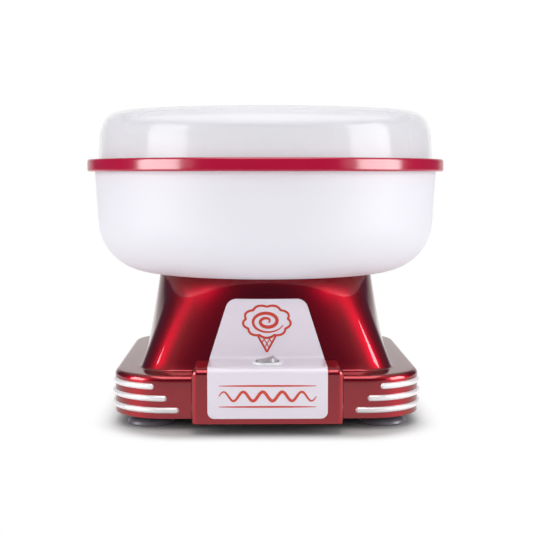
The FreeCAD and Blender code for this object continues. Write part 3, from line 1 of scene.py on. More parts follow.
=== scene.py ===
# %% [markdown]
# # A table-top cotton candy machine
# The machine has a lacquered red base with a motor in it, a white bowl that drops over a neck,
# a raspberry ring round the bowl's rim and a milky splash shield.  The engineering model comes
# as a fixed frame.  This lesson puts finished skins over the pieces that show, gives every
# other piece a real finish, and lights the whole as in a plain studio.  The frame is loaded
# first, because each new piece rides on one of its bodies.

# %% Load the frame
import json
import math

import bmesh
import bpy
import numpy as np
from mathutils import Matrix, Vector


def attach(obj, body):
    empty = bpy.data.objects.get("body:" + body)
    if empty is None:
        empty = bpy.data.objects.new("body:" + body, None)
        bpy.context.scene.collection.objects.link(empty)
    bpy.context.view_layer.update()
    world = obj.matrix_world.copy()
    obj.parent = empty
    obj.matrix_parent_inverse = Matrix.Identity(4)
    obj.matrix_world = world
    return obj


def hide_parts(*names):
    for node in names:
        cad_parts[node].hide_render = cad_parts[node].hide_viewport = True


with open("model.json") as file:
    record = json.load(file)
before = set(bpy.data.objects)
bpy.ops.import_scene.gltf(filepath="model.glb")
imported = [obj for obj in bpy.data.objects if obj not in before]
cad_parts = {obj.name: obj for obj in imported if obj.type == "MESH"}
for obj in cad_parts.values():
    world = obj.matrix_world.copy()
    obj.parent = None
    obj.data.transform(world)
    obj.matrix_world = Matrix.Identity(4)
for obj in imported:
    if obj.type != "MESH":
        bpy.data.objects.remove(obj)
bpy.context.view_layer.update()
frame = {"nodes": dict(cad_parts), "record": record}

nodes = frame["nodes"]
scene = bpy.context.scene

# %% [markdown]
# ## Sizes that several pieces share
# The skins have to meet the mechanical pieces under them, so the sizes they share are named
# once, in millimetres.  The origin is on the table under the spin axis; the front faces -Y.

# %% Shared sizes in millimetres
MM = 0.001
WALL = 2.5
PLINTH_HALF, PLINTH_CORNER, PLINTH_BOTTOM = 116.0, 42.0, 8.3
DECK_TOP, DECK_ROUND = 40.0, 4.0
TOWER_FOOT_HALF, TOWER_FOOT_CORNER = 97.0, 28.0
TOWER_RADIUS, TOWER_TOP = 86.5, 109.0
NECK_HOLE = 47.0
CONSOLE_HALF, CONSOLE_FRONT, CONSOLE_BACK, CONSOLE_TOP = 55.0, 135.0, 55.0, 48.0
CONSOLE_CORNER, CONSOLE_ROUND = 5.0, 4.0
PANEL_THICK, PANEL_HALF, PANEL_TOP_HALF = 1.6, 43.2, 29.0
PANEL_BOTTOM, PANEL_TOP = 12.5, 94.0
LEDGE = CONSOLE_TOP + PANEL_THICK
SWITCH_Y, SWITCH_HOLE = -117.0, 10.0
SQUARE = ((-1, -1), (1, -1), (1, 1), (-1, 1))
print("plinth", 2 * PLINTH_HALF, "mm wide, its deck", DECK_TOP, "mm up")

# %% [markdown]
# ## Lines with rounded corners
# Almost nothing on a moulded machine has a knife edge.  A profile is written as a few corners,
# each with its radius, and one function turns each into an arc tangent to both runs.  A bevel
# could do it afterwards, but an exact arc keeps the sizes true and puts the highlight where a
# real mould puts it.  The other helpers measure along a line, make it finer and go round.

# %% Rounded lines
def left(arrows):
    """Each arrow (x, y) turned a quarter turn to the left, (-y, x)."""
    return np.stack([-arrows[:, 1], arrows[:, 0]], axis=1)


def rounded(corners, steps=6):
    """The line through corners (x, y, radius), with an arc at each; a radius of 0 stays sharp.

    At a corner the line turns by the angle a.  An arc of radius r starts r tan(a/2) before
    the corner, and its centre lies at r to the side the line turns to.  From the centre an arm
    reaches back to the start, and turning it by shares of a gives the arc's points:
    arm cos + left(arm) sin.
    """
    corners = np.asarray(corners, float)
    points, radii = corners[:, :2], corners[:, 2:]
    arrive = points - np.roll(points, 1, axis=0)
    leave = np.roll(points, -1, axis=0) - points
    arrive /= np.maximum(np.linalg.norm(arrive, axis=1, keepdims=True), 1e-9)
    leave /= np.maximum(np.linalg.norm(leave, axis=1, keepdims=True), 1e-9)
    bend = np.arctan2(np.sum(left(arrive) * leave, axis=1), np.sum(arrive * leave, axis=1))[:, None]
    arm = -np.sign(bend) * left(arrive) * radii
    centre = points - arrive * radii * np.tan(np.abs(bend) / 2) - arm
    turn = (bend * np.linspace(0, 1, steps))[..., None]
    arcs = centre[:, None] + arm[:, None] * np.cos(turn) + left(arm)[:, None] * np.sin(turn)
    return arcs[(radii > 0) | (np.arange(steps) == 0)]


def lengths_along(line):
    """The distance along the line to each of its points, from 0 at the first."""
    return np.concatenate([[0], np.cumsum(np.linalg.norm(np.diff(line, axis=0), axis=1))])


def points_at(line, wanted):
    """The points of the line at the wanted distances along it."""
    along = lengths_along(line)
    return np.stack([np.interp(wanted, along, values) for values in line.T], axis=1)


def finer(line, step):
    """The same line with points added so that no run is longer than step."""
    along = lengths_along(line)
    runs = np.linalg.norm(np.diff(line, axis=0), axis=1)
    counts = np.maximum(np.ceil(runs / step), 1).astype(int)
    wanted = [start + np.arange(count) / count * run
              for start, run, count in zip(along, runs, counts)]
    return points_at(line, np.append(np.concatenate(wanted), along[-1]))


def circle(angle):
    """The points (cos a, sin a) of a circle of radius 1."""
    return np.stack([np.cos(angle), np.sin(angle)], axis=-1)


def full_turn(steps):
    """Even angles once round, without the first again at the end."""
    return np.linspace(0, 2 * np.pi, steps, endpoint=False)


def quarter_turn(steps):
    """Even angles from 0 to 90 degrees."""
    return np.linspace(0, np.pi / 2, steps)


print("one round corner:", rounded([(0, 0, 0), (1, 0, 0.2), (1, 1, 0)], 3).round(2).tolist())

# %% [markdown]
# ## From a grid of points to a closed skin
# A surface is a function of two parameters, so its points form a grid, and joining neighbours
# gives a mesh of quads.  Where a row shrinks to one point, merging the doubles closes the pole.
# An edge stays sharp only where the surface turns by more than a given angle.

# %% Grids into meshes
SAME_POINT, NO_LENGTH = 2e-6, 1e-7


def shade(mesh, sharp):
    """Smooth shading, but sharp where the surface turns by more than the angle."""
    mesh.shade_smooth()
    mesh.set_sharp_from_angle(angle=math.radians(sharp))


def from_faces(name, vertices, faces, sharp=32.0):
    """A mesh object: doubles merged, faces outwards, smooth up to the angle sharp."""
    mesh = bpy.data.meshes.new(name)
    mesh.from_pydata((np.asarray(vertices) * MM).tolist(), [], np.asarray(faces).tolist())
    work = bmesh.new()
    work.from_mesh(mesh)
    bmesh.ops.remove_doubles(work, verts=work.verts, dist=SAME_POINT)
    bmesh.ops.dissolve_degenerate(work, dist=NO_LENGTH, edges=work.edges)
    bmesh.ops.recalc_face_normals(work, faces=work.faces)
    work.to_mesh(mesh)
    work.free()
    shade(mesh, sharp)
    piece = bpy.data.objects.new(name, mesh)
    scene.collection.objects.link(piece)
    return piece


def grid_faces(rows, columns, wrap_rows=False, wrap_columns=True, first=0):
    """Quads (i, j), (i, j+1), (i+1, j+1), (i+1, j) over a grid of numbered points."""
    index = first + np.arange(rows * columns).reshape(rows, columns)
    if wrap_rows:
        index = np.vstack([index, index[:1]])
    if wrap_columns:
        index = np.hstack([index, index[:, :1]])
    quads = [index[:-1, :-1], index[:-1, 1:], index[1:, 1:], index[1:, :-1]]
    return np.stack(quads, axis=-1).reshape(-1, 4)


def skin(name, grid, wrap_rows=False, wrap_columns=True, sharp=32.0):
    """The skin over a grid of points with the shape rows, columns, 3."""
    faces = grid_faces(*grid.shape[:2], wrap_rows, wrap_columns)
    return from_faces(name, grid.reshape(-1, 3), faces, sharp)


def at_heights(plan, heights):
    """Rows of plan points (x, y), each row lifted to its own height."""
    return np.dstack([plan, np.broadcast_to(heights[:, None], plan.shape[:2])])


def turned_grid(profile, segments=288):
    """Radius and height swept round the axis: a point is (r cos a, r sin a, z)."""
    radius, height = np.asarray(profile, float).T
    return at_heights(radius[:, None, None] * circle(full_turn(segments)), height)


print("a 3 x 4 grid closed both ways has", len(grid_faces(3, 4, wrap_rows=True)), "faces")

# %% [markdown]
# ## Joining and cutting solids
# Holes, bosses and the console are solids of their own that are joined to a skin or cut out of
# it, much as inserts are set in a mould.  The exact solver is slower than the quick one, but it
# copes with faces that lie close together.

# %% Solid operations
def capped(name, rows, low, high):
    """A closed skin over rows of points, with a fan to the point low and one to high."""
    low, high = (np.broadcast_to(point, rows[:1].shape) for point in (low, high))
    return skin(name, np.concatenate([low, rows, high]))


def apply_modifiers(piece, sharp=32.0):
    """Turns what the modifiers make into the piece's own mesh."""
    graph = bpy.context.evaluated_depsgraph_get()
    mesh = bpy.data.meshes.new_from_object(piece.evaluated_get(graph))
    piece.modifiers.clear()
    piece.data = mesh
    shade(mesh, sharp)


def combine(piece, tool, operation):
    """Joins a closed tool to a closed piece, or cuts it out, and throws the tool away."""
    change = piece.modifiers.new("combine", "BOOLEAN")
    change.object, change.operation, change.solver = tool, operation, "EXACT"
    apply_modifiers(piece)
    bpy.data.objects.remove(tool)


def rod(name, radius, start, end, segments=64):
    """A plain closed cylinder from start to end."""
    start, end = np.asarray(start, float), np.asarray(end, float)
    axis = (end - start) / np.linalg.norm(end - start)
    across = np.cross(axis, [0, 0, 1] if abs(axis[2]) < 0.9 else [1, 0, 0])
    across /= np.linalg.norm(across)
    cos, sin = circle(full_turn(segments)).T[:, :, None]
    rim = radius * (cos * across + sin * np.cross(axis, across))
    return capped(name, np.stack([start + rim, end + rim]), start, end)


def bore(piece, radius, start, end):
    """Cuts a round hole from start to end."""
    combine(piece, rod("bore", radius, start, end), "DIFFERENCE")


print("64 sides stray from round by", round(1 - math.cos(math.pi / 64), 4), "of the radius")

# %% [markdown]
# ## One helper for every shader node
# A finish is a small tree of shader nodes.  One function adds any kind, by its name in Blender
# after "ShaderNode".  An input that is given a socket is linked to it, and any other value is
# set.  Colours are sRGB hex values, turned to the linear light that the renderer works in.

# %% Node helper and colours
def linear(hex_colour):
    """sRGB to linear light: c / 12.92 for dark values, ((c + 0.055) / 1.055) ** 2.4 above."""
    raw = np.array([int(hex_colour[i:i + 2], 16) for i in (0, 2, 4)]) / 255
    bright = ((raw + 0.055) / 1.055) ** 2.4
    return (*np.where(raw <= 0.04045, raw / 12.92, bright).tolist(), 1.0)


def add(tree, kind, inputs=None, **settings):
    """Adds a node, sets it, sets or links its inputs, and gives back its outputs."""
    item = tree.nodes.new("ShaderNode" + kind)
    for key, value in settings.items():
        setattr(item, key, value)
    for key, value in (inputs or {}).items():
        if isinstance(value, bpy.types.NodeSocket):
            tree.links.new(value, item.inputs[key])
        else:
            item.inputs[key].default_value = value
    return item.outputs


print("white is", linear("FFFFFF"))

# %% [markdown]
# ## Short names for the usual nodes
# The same few nodes come back in every finish.  Each gets a short function that gives back the
# socket with its answer, so that a finish reads like a formula.

# %% The usual nodes
def maths(tree, operation, first, second, **settings):
    """One step of arithmetic on sockets or numbers."""
    return add(tree, "Math", {0: first, 1: second}, operation=operation, **settings)["Value"]


def vectors(tree, operation, first, second=(0, 0, 0)):
    """One step of arithmetic on vectors; a length comes out as a number."""
    outputs = add(tree, "VectorMath", {0: first, 1: second}, operation=operation)
    return outputs["Value" if operation == "LENGTH" else "Vector"]


def between(tree, value, low, high, start=0.0, end=1.0, curve="LINEAR"):
    """A value that runs from start to end, made to run from low to high."""
    inputs = {"Value": value, "From Min": start, "From Max": end, "To Min": low, "To Max": high}
    return add(tree, "MapRange", inputs, interpolation_type=curve)["Result"]


def choice(tree, share, first, second, **settings):
    """The first value where share is 0, the second where it is 1, a blend between."""
    return add(tree, "Mix", {"Factor": share, "A": first, "B": second}, **settings)["Result"]


def tinted(tree, share, first, second):
    """The same for two colours written in hex."""
    return choice(tree, share, linear(first), linear(second), data_type="RGBA")


def noise(tree, place, size, detail):
    """Soft noise whose features are size millimetres across."""
    inputs = {"Vector": place, "Scale": 1000 / size, "Detail": detail}
    return add(tree, "TexNoise", inputs)["Fac"]


def bumps(tree, height, depth):
    """The surface's direction bent as a relief of depth millimetres would bend it."""
    return add(tree, "Bump", {"Height": height, "Distance": depth * MM})["Normal"]


def empty_tree(owner):
    """The shader tree of a material or a world, emptied."""
    owner.use_nodes = True
    owner.node_tree.nodes.clear()
    return owner.node_tree


def open_finish(name):
    """A new material: itself, its empty tree, and the object's own coordinates in metres."""
    material = bpy.data.materials.new(name)
    tree = empty_tree(material)
    return material, tree, add(tree, "TexCoord")["Object"]


def close_finish(material, **sockets):
    """Ends a material with a Principled shader that has these values in its sockets."""
    tree = material.node_tree
    inputs = {key.replace("_", " "): value for key, value in sockets.items()}
    add(tree, "OutputMaterial", {"Surface": add(tree, "BsdfPrincipled", inputs)["BSDF"]})
    return material


print("noise 4 mm wide has the scale", 1000 / 4, "in metres")

# %% [markdown]
# ## Plain moulded, sheet and cast finishes
# Most pieces are moulded plastic or formed metal.  They share one recipe: a colour, the
# material's usual roughness and index of refraction, a slow wander in the roughness from
# handling, and a faint relief with the grain of the tool or the sheet.  Grain finer than about
# 0.4 mm would vanish, so it is drawn that coarse.

# %% Recipe for a plain finish
HANDLING_PATCH = 30
finishes = {}


def plain(name, colour, rough, metallic=0.0, grain=1.2, relief=0.004, wander=0.05,
          stretch=(1, 1, 1), **sockets):
    """One colour with noise in its roughness and relief; grain and relief in millimetres."""
    material, tree, place = open_finish(name)
    patches = noise(tree, place, HANDLING_PATCH, 3)
    drawn = add(tree, "Mapping", {"Vector": place, "Scale": stretch})["Vector"]
    return close_finish(
        material, Base_Color=linear(colour), Metallic=metallic,
        Roughness=between(tree, patches, max(rough - wander, 0.02), rough + wander),
        Normal=bumps(tree, noise(tree, drawn, grain, 2), relief), **sockets)


# slot: real material, colour, roughness, index of refraction, grain and relief in mm, the rest;
# each comment says what the material gives the eye
moulded = {
    # gloss white: soft wide reflections over a bright body
    "panel_gloss_white": ("moulded white ABS with a lilac cast", "E1DAE4", 0.24, 1.54, 2.5, 0.003),
    # white body with a little depth and a soft sheen
    "bowl_white": ("moulded white polypropylene", "E5E4EB", 0.48, 1.49, 3.5, 0.004,
                   {"Specular_IOR_Level": 0.25}),
    # a deep colour under a clean reflection
    "ring_raspberry": ("moulded raspberry ABS", "AC0032", 0.16, 1.6, 3.0, 0.003, {"wander": 0.03}),
    # spark-eroded moulds: dull blacks with a fine tooth, each a little different in sheen
    "black_plastic": ("eroded-texture black ABS", "17171A", 0.5, 1.54, 0.5, 0.02),
    "heatproof_black": ("moulded black phenolic", "1B1A1A", 0.45, 1.6, 0.5, 0.012),
    "component_black": ("moulded black epoxy", "121214", 0.4, 1.55, 0.4, 0.01),
    "fan_plastic": ("moulded black nylon", "1D1D1F", 0.38, 1.53, 0.6, 0.008),
    # clean white gloss
    "switch_white": ("polished white nylon", "E4E4E8", 0.18, 1.53, 1.5, 0.002),
    # satin grey that stands out from the white bezel round it
    "rocker_grey": ("satin pale grey nylon", "9E9FA4", 0.3, 1.53, 0.6, 0.004),
    # a warm off-white with a broad sheen
    "terminal_white": ("moulded white polyamide", "D9D8D0", 0.42, 1.53, 0.6, 0.008),
    # soft PVC: a dim waxy grey
    "foot_rubber": ("moulded clear grey PVC", "75717A", 0.32, 1.53, 1.0, 0.004),
    # filled rubber: deep black that takes almost no reflection
    "grommet_rubber": ("moulded black rubber", "151515", 0.6, 1.52, 0.5, 0.02),
    # silicone: waxy grey-white
    "lead_sleeve": ("extruded white silicone sleeve", "C9C8C2", 0.45, 1.41, 0.5, 0.01),
    # pressed powders: dull blacks with a fine grain, and a chalky off-white
    "brush_carbon": ("pressed carbon", "1E1E1F", 0.6, 1.6, 0.4, 0.02),
    "magnet_ferrite": ("sintered ferrite", "2A2A2B", 0.55, 1.6, 0.6, 0.02),
    "insulator_ceramic": ("pressed steatite", "DAD4C6", 0.62, 1.6, 0.5, 0.02),
    # the glass weave shows as a drawn-out grain through the green resist
    "board_laminate": ("green-resist glass laminate", "1F5B32", 0.35, 1.55, 0.8, 0.01,
                       {"stretch": (1, 0.3, 1)}),
}
for slot, (name, colour, rough, index, grain, relief, *rest) in moulded.items():
    finishes[slot] = plain(name, colour, rough, IOR=index, grain=grain, relief=relief,
                           **(rest[0] if rest else {}))
print("moulded finishes", len(finishes))

# %% [markdown]
# ## Metals
# These use the same recipe with a metallic body and no index of their own.  What tells one from
# another is its tint, its roughness, and the way that drawing or grinding stretched its grain.

# %% Metals
# slot: real material, colour, roughness, the rest
metals = {
    # zinc plate: bright grey with a faint blue cast
    "screw_steel": ("zinc-plated steel", "B4B6BA", 0.3, {"grain": 0.5}),
    # deep-drawn can: fine lines down its side
    "motor_steel": ("drawn zinc-plated steel", "A9ABAE", 0.32,
                    {"grain": 0.5, "relief": 0.006, "stretch": (1, 1, 0.1)}),
    # hot-dip zinc: patches of lighter and duller grey
    "bracket_steel": ("galvanised steel sheet", "A8ABAC", 0.42,
                      {"grain": 4.0, "relief": 0.01, "wander": 0.12}),
    # ground round: a bright line along it, crossed by fine rings
    "shaft_steel": ("ground steel", "B8B9BA", 0.16,
                    {"grain": 0.4, "relief": 0.003, "stretch": (0.1, 0.1, 4)}),
    # nickel and tin: warm, soft whites
    "thermostat_steel": ("pressed nickel-plated steel", "B1AEA8", 0.25, {"grain": 1.0}),
    "fuse_metal": ("tinned brass", "BDBCB6", 0.28, {"grain": 0.6}),
    # yellow and brown metals that tell contacts and bearings apart
    "brass_tab": ("stamped brass", "C69A4E", 0.26, {"grain": 0.6, "stretch": (1, 1, 0.2)}),
    "bush_bronze": ("sintered bronze", "8E6A3E", 0.5, {"grain": 0.4, "relief": 0.02}),
}
for slot, (name, colour, rough, rest) in metals.items():
    finishes[slot] = plain(name, colour, rough, metallic=1.0, **rest)
# the trims' satin plating over plastic: a pale skin that takes broad bright bands
finishes["trim_chrome"] = plain("satin-bright plating", "EFEDEE", 0.28, metallic=0.25, grain=2.0,
                                relief=0.001, wander=0.03)
print("with metals", len(finishes))

# %% [markdown]
# ## Candy-red lacquer
# The base is sprayed: metal flakes in a red-tinted coat, then clear lacquer.  The flakes give
# the wide red glow round each lamp, and the clear coat lays a thin white reflection on top.  A
# metallic base with a coat does both.  Real flakes of about 0.05 mm are drawn at 0.5 mm.

# %% Candy-red lacquer
FLAKE, ORANGE_PEEL, PEEL_DEPTH = 0.5, 4, 0.004


def lacquer():
    """Flake colour and tilt from cell noise; a clear coat with slow orange peel over it."""
    material, tree, place = open_finish("candy-red lacquer over metal flake")
    cells = add(tree, "TexVoronoi", {"Vector": place, "Scale": 1000 / FLAKE})
    pick = add(tree, "SeparateColor", {"Color": cells["Color"]})
    return close_finish(
        material, Base_Color=tinted(tree, pick["Red"], "900016", "9A0019"), Metallic=1.0,
        Roughness=between(tree, pick["Green"], 0.29, 0.33), Specular_Tint=linear("A0606A"),
        Coat_Weight=1.0, Coat_Roughness=0.03, Coat_IOR=1.53,
        Coat_Normal=bumps(tree, noise(tree, place, ORANGE_PEEL, 1), PEEL_DEPTH))


finishes["red_lacquer"] = lacquer()
print("flakes to a metre", 1000 / FLAKE)

# %% [markdown]
# ## Milky shield
# The shield's wall is thin and hardly bends what lies behind it: the far rim shows through a
# pale veil.  A third of opacity gives the veil, and the smooth surface keeps a clean reflection
# of each softbox.  A cloudy volume would cost much more for the same look.

# %% Milky shield
VEIL = 0.32
finishes["shield_frosted"] = plain(
    "moulded milky polypropylene", "E5E5EA", 0.08, IOR=1.49, grain=5.0, relief=0.0, wander=0.02,
    Alpha=VEIL, Specular_IOR_Level=0.38)
print("the shield passes", round(1 - VEIL, 2), "of what lies behind it")

# %% [markdown]
# ## Spun and turned metal
# The heater pan and the sugar head are spun on a lathe, which leaves fine rings.  The distance
# from the axis drives a one-dimensional noise, so the rings are true circles.  Real tool marks
# are about 0.1 mm apart and are drawn at 0.45 mm.

# %% Spun metal
TOOL_MARK, TOOL_DEPTH, STAIN_PATCH = 0.45, 0.006, 14


def spun_metal(name, colour, rough, stain):
    """Rings from noise on the radius; stain is the second colour that heat leaves in patches."""
    material, tree, place = open_finish(name)
    radius = vectors(tree, "LENGTH", vectors(tree, "MULTIPLY", place, (1, 1, 0)))
    rings = add(tree, "TexNoise", {"W": radius, "Scale": 1000 / TOOL_MARK, "Detail": 2},
                noise_dimensions="1D")["Fac"]
    patches = noise(tree, place, STAIN_PATCH, 4)
    return close_finish(
        material, Base_Color=tinted(tree, patches, colour, stain), Metallic=1.0, Anisotropic=0.4,
        Roughness=between(tree, rings, rough - 0.08, rough + 0.1),
        Normal=bumps(tree, rings, TOOL_DEPTH))


for slot, name, colour, rough, stain in (
        # bright lathe-turned metals: pale rings that catch the light
        ("head_aluminium", "spun aluminium", "CFCFD1", 0.26, "C4C3C3"),
        ("head_steel", "slotted stainless band", "B9B9BA", 0.3, "A9A8A8"),
        ("pan_aluminium", "pressed bright aluminium", "CDCDCE", 0.28, "BEBBB6"),
        # heated steel sheath: brown and blue oxide patches
        ("heater_steel", "heat-stained steel sheath", "5A4E48", 0.4, "3B3A44")):
    finishes[slot] = spun_metal(name, colour, rough, stain)
print("with spun metals", len(finishes))

# %% [markdown]
# ## Wound wire
# Enamelled wire lies in even rows, so a wave pattern with the wire's pitch draws it.  Real
# turns would take thousands of faces for a piece that hides in the motor.

# %% Wound wire
WIRE_PITCH, WIRE_DEPTH = 0.6, 0.15


def wound_wire():
    """Bands across the winding, one for each wire, with painted shade darkening the grooves."""
    material, tree, place = open_finish("enamelled copper wire")
    bands = add(tree, "TexWave", {
        "Vector": place, "Scale": 1000 / WIRE_PITCH / (2 * math.pi), "Distortion": 0.6,
        "Detail": 1.0}, bands_direction="DIAGONAL")["Fac"]
    return close_finish(
        # painted shade: the colour darkens from copper C2703A to dark brown 5E2A12 in the grooves
        # between the wires
        material, Base_Color=tinted(tree, bands, "5E2A12", "C2703A"), Metallic=0.85,
        Roughness=0.3, Normal=bumps(tree, bands, WIRE_DEPTH))


finishes["winding_copper"] = wound_wire()
slots_in_record = {row["material_slot"] for row in frame["record"]["subparts"]}
print("slots without a finish", sorted(slots_in_record - set(finishes)))

# %% [markdown]
# ## Painting the mechanical pieces
# The pieces that already have the right shape keep it. Each gets the finish that its slot
# asks for.

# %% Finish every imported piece
for row in frame["record"]["subparts"]:
    node = nodes[row["node"]]
    if not node.material_slots:
        node.data.materials.append(finishes[row["material_slot"]])
    for place in node.material_slots:
        place.material = finishes[row["material_slot"]]


def settle(piece, body, slot, *stands_for, look=None):
    """Paints a new piece, fixes it to its body and hides the pieces it stands for."""
    piece.data.materials.clear()
    piece.data.materials.append(look or finishes[slot])
    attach(piece, body)
    if stands_for:
        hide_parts(*stands_for)
    size = np.array(piece.dimensions) / MM
    print(piece.name, "mm", size.round(1).tolist(), "faces", len(piece.data.polygons))


# %% [markdown]
# ## The housing
# The base is one moulding: a rounded square plinth, a flat deck, and a tower that rises from a
# rounded square foot to a round top.  Boxes and bevels would lose the tower's change of section,
# so each row of the grid is a whole outline.  A rounded square and a circle are cut into the
# same four sides and four corners, and the tower's wall runs straight from one to the other.

# %% Outlines of the plinth and the tower
SIDE_CELLS, CORNER_CELLS = 28, 20


def four_quarters(x, y):
    """A quarter of an outline turned by 0, 90, 180 and 270 degrees."""
    turned = [np.stack(pair, axis=-1) for pair in ((x, y), (-y, x), (-x, -y), (y, -x))]
    return np.concatenate(turned, axis=1)


def square_outline(half, corner):
    """A side x = half, then a corner: its centre plus corner (cos a, sin a)."""
    half, corner = half[:, None], corner[:, None]
    run = half - corner
    across = np.linspace(-1, 1, SIDE_CELLS, endpoint=False)
    angle = np.linspace(0, np.pi / 2, CORNER_CELLS, endpoint=False)
    x = np.concatenate([half + 0 * across, run + corner * np.cos(angle)], axis=1)
    y = np.concatenate([run * across, run + corner * np.sin(angle)], axis=1)
    return four_quarters(x, y)


def circle_outline(radius, side_angle):
    """The circle split where the square's sides and corners end."""
    across = np.linspace(-1, 1, SIDE_CELLS, endpoint=False) * side_angle / 2
    bend = np.linspace(side_angle / 2, np.pi / 2 - side_angle / 2, CORNER_CELLS, endpoint=False)
    angle = np.concatenate([across, bend])
    return four_quarters(radius[:, None] * np.cos(angle), radius[:, None] * np.sin(angle))


def tower_outline(outset, height, inset=0.0):
    """Blend of foot and top by height, t = (z - foot) / (top - foot), pushed out by outset."""
    half, corner = TOWER_FOOT_HALF - inset, TOWER_FOOT_CORNER - inset
    straight, bend = 2 * (half - corner), corner * np.pi / 2
    side_angle = np.pi / 2 * straight / (straight + bend)
    share = np.clip((height - DECK_TOP + inset) / (TOWER_TOP - DECK_TOP), 0, 1)[:, None, None]
    foot = square_outline(half + outset, corner + outset)
    return (1 - share) * foot + share * circle_outline(TOWER_RADIUS - inset + outset, side_angle)


print("an outline has", 4 * (SIDE_CELLS + CORNER_CELLS), "points")

# %% [markdown]
# ## Rows from the plinth's foot to the neck
# The outer skin runs up the plinth, in over the deck, up the tower and in to the neck's hole.
# The inner skin is the same walk pushed in by the wall, so the moulding has one even thickness,
# as a real one must have to cool without sinking.

# %% The housing's skin
DECK_RUN, TOWER_FOOT_RUN, TOWER_TOP_RUN, HOLE_MARGIN = 9, 6, 8, 14
WALL_STEP, RISE_STEP, OUTER_BEND, INNER_BEND = 6.0, 5.0, 1.6, 0.5
HOLE_SIDE_ANGLE = np.radians(68.3)


def housing_rows(inset):
    """Rows from the bottom edge up the plinth, over the deck and up to the hole."""
    taper = TOWER_FOOT_HALF - TOWER_RADIUS
    deck, top = DECK_TOP - inset, TOWER_TOP - inset
    wall = finer(rounded([(inset, PLINTH_BOTTOM, 0), (inset, deck, DECK_ROUND - inset),
                          (inset + DECK_RUN, deck, 0)], steps=9), WALL_STEP)
    plinth = square_outline(PLINTH_HALF - wall[:, 0], PLINTH_CORNER - wall[:, 0])
    bend = OUTER_BEND if inset == 0 else INNER_BEND
    rise = finer(rounded([(TOWER_FOOT_RUN, deck, 0), (0, deck, bend), (-taper, top, bend),
                          (-taper - TOWER_TOP_RUN, top, 0)], steps=7), RISE_STEP)
    share = np.clip((rise[:, 1] - deck) / (top - deck), 0, 1)
    tower = tower_outline(rise[:, 0] + taper * share, rise[:, 1], inset)
    hole = circle_outline(np.array([NECK_HOLE + HOLE_MARGIN, NECK_HOLE]), HOLE_SIDE_ANGLE)
    return at_heights(np.concatenate([plinth, tower, hole]),
                      np.concatenate([wall[:, 1], rise[:, 1], [top, top]]))


# the outside rows and then the inside rows downwards, joined at the hole and at the foot
rows = np.concatenate([housing_rows(0.0), housing_rows(WALL)[::-1]])
housing = skin("housing_shell", rows, wrap_rows=True)
print("housing points", len(housing.data.vertices))

# %% [markdown]
# ## The console in front
# A block in front of the plinth carries the switch.  It is a rectangle with rounded front
# corners whose rows shrink inwards over the rounded top edge.  It is joined to the housing, and
# a smaller copy of it is cut out to leave an even wall.

# %% The console
CONSOLE_MIDDLE = -90
LEAST_CORNER = 0.4


def console_block(name, inset, bottom):
    """Rows of a rounded rectangle between a bottom and a top that shrink to a point."""
    edge = CONSOLE_ROUND - inset
    turn = quarter_turn(8)
    shrink = np.concatenate([[0, 0], edge * (1 - np.cos(turn))]) + inset
    shoulder = CONSOLE_TOP - inset - edge
    heights = np.concatenate([[bottom, shoulder - 0.1], shoulder + edge * np.sin(turn)])
    rows = []
    for back in shrink:
        half, front, rear = CONSOLE_HALF - back, -(CONSOLE_FRONT - back), -CONSOLE_BACK - inset
        corner = max(CONSOLE_CORNER - back, LEAST_CORNER)
        rows.append(rounded([(half, rear, 0), (half, front, corner), (-half, front, corner),
                             (-half, rear, 0)], steps=8))
    return capped(name, at_heights(np.stack(rows), heights), [0, CONSOLE_MIDDLE, bottom],
                  [0, CONSOLE_MIDDLE, CONSOLE_TOP - inset])


combine(housing, console_block("console", 0.0, PLINTH_BOTTOM), "UNION")
combine(housing, console_block("console_inside", WALL, PLINTH_BOTTOM - 1), "DIFFERENCE")
print("housing and console points", len(housing.data.vertices))

# %% [markdown]
# ## Bosses and openings
# Four bosses take the bottom plate's screws and four the motor bracket's.  The openings come
# last, so that nothing fills them again: one for the switch, one for the cord's gland, and five
# slots in the back for cooling air.

# %% Bosses, holes and air slots
BOSS_RADIUS, GLAND_HOLE, GLAND_HEIGHT = 4.5, 6.6, 24
SLOT_HALF, SLOT_ROUND, SLOT_PITCH, LOWEST_SLOT, SLOTS = 23, 1.5, 7.0, 56.0, 5
SLOT_INSIDE, SLOT_OUTSIDE = 70.0, 120.0


def air_slots():
    """Long slots with round ends through the tower's back, in one mesh."""
    end = rounded([(SLOT_HALF * x, SLOT_ROUND * z, SLOT_ROUND - 0.01)
                   for x, z in SQUARE], steps=9)
    count = len(end)
    rows = [np.stack([size * end[:, 0], np.full(count, y), height + size * end[:, 1]], axis=1)
            for height in LOWEST_SLOT + SLOT_PITCH * np.arange(SLOTS)
            for y, sizes in ((SLOT_INSIDE, (0, 1)), (SLOT_OUTSIDE, (1, 0))) for size in sizes]
    faces = [grid_faces(4, count, first=4 * count * number) for number in range(SLOTS)]
    return from_faces("air_slots", np.concatenate(rows), np.concatenate(faces))


# where the bosses stand: to the side, to the front and back, from this height to that one
for reach_x, reach_y, low, high in ((104, 34, 11.5, 38.5), (42.4, 42.4, 94.0, 107.5)):
    for x in (-reach_x, reach_x):
        for y in (-reach_y, reach_y):
            combine(housing, rod("boss", BOSS_RADIUS, (x, y, low), (x, y, high), 24), "UNION")
bore(housing, SWITCH_HOLE, (0, SWITCH_Y, 40), (0, SWITCH_Y, 55))
bore(housing, GLAND_HOLE, (0, 108, GLAND_HEIGHT), (0, 121, GLAND_HEIGHT))
combine(housing, air_slots(), "DIFFERENCE")
settle(housing, "base", "red_lacquer", "base_housing")

# %% [markdown]
# ## The pale panel
# A thin pale moulding covers the console's front, bends over its top and climbs the tower,
# getting narrower.  It is drawn as a sheet and thickened afterwards.  The climbing part has to
# lie on the tower, so its depth is read from the tower's own blend of a flat side and a circle.

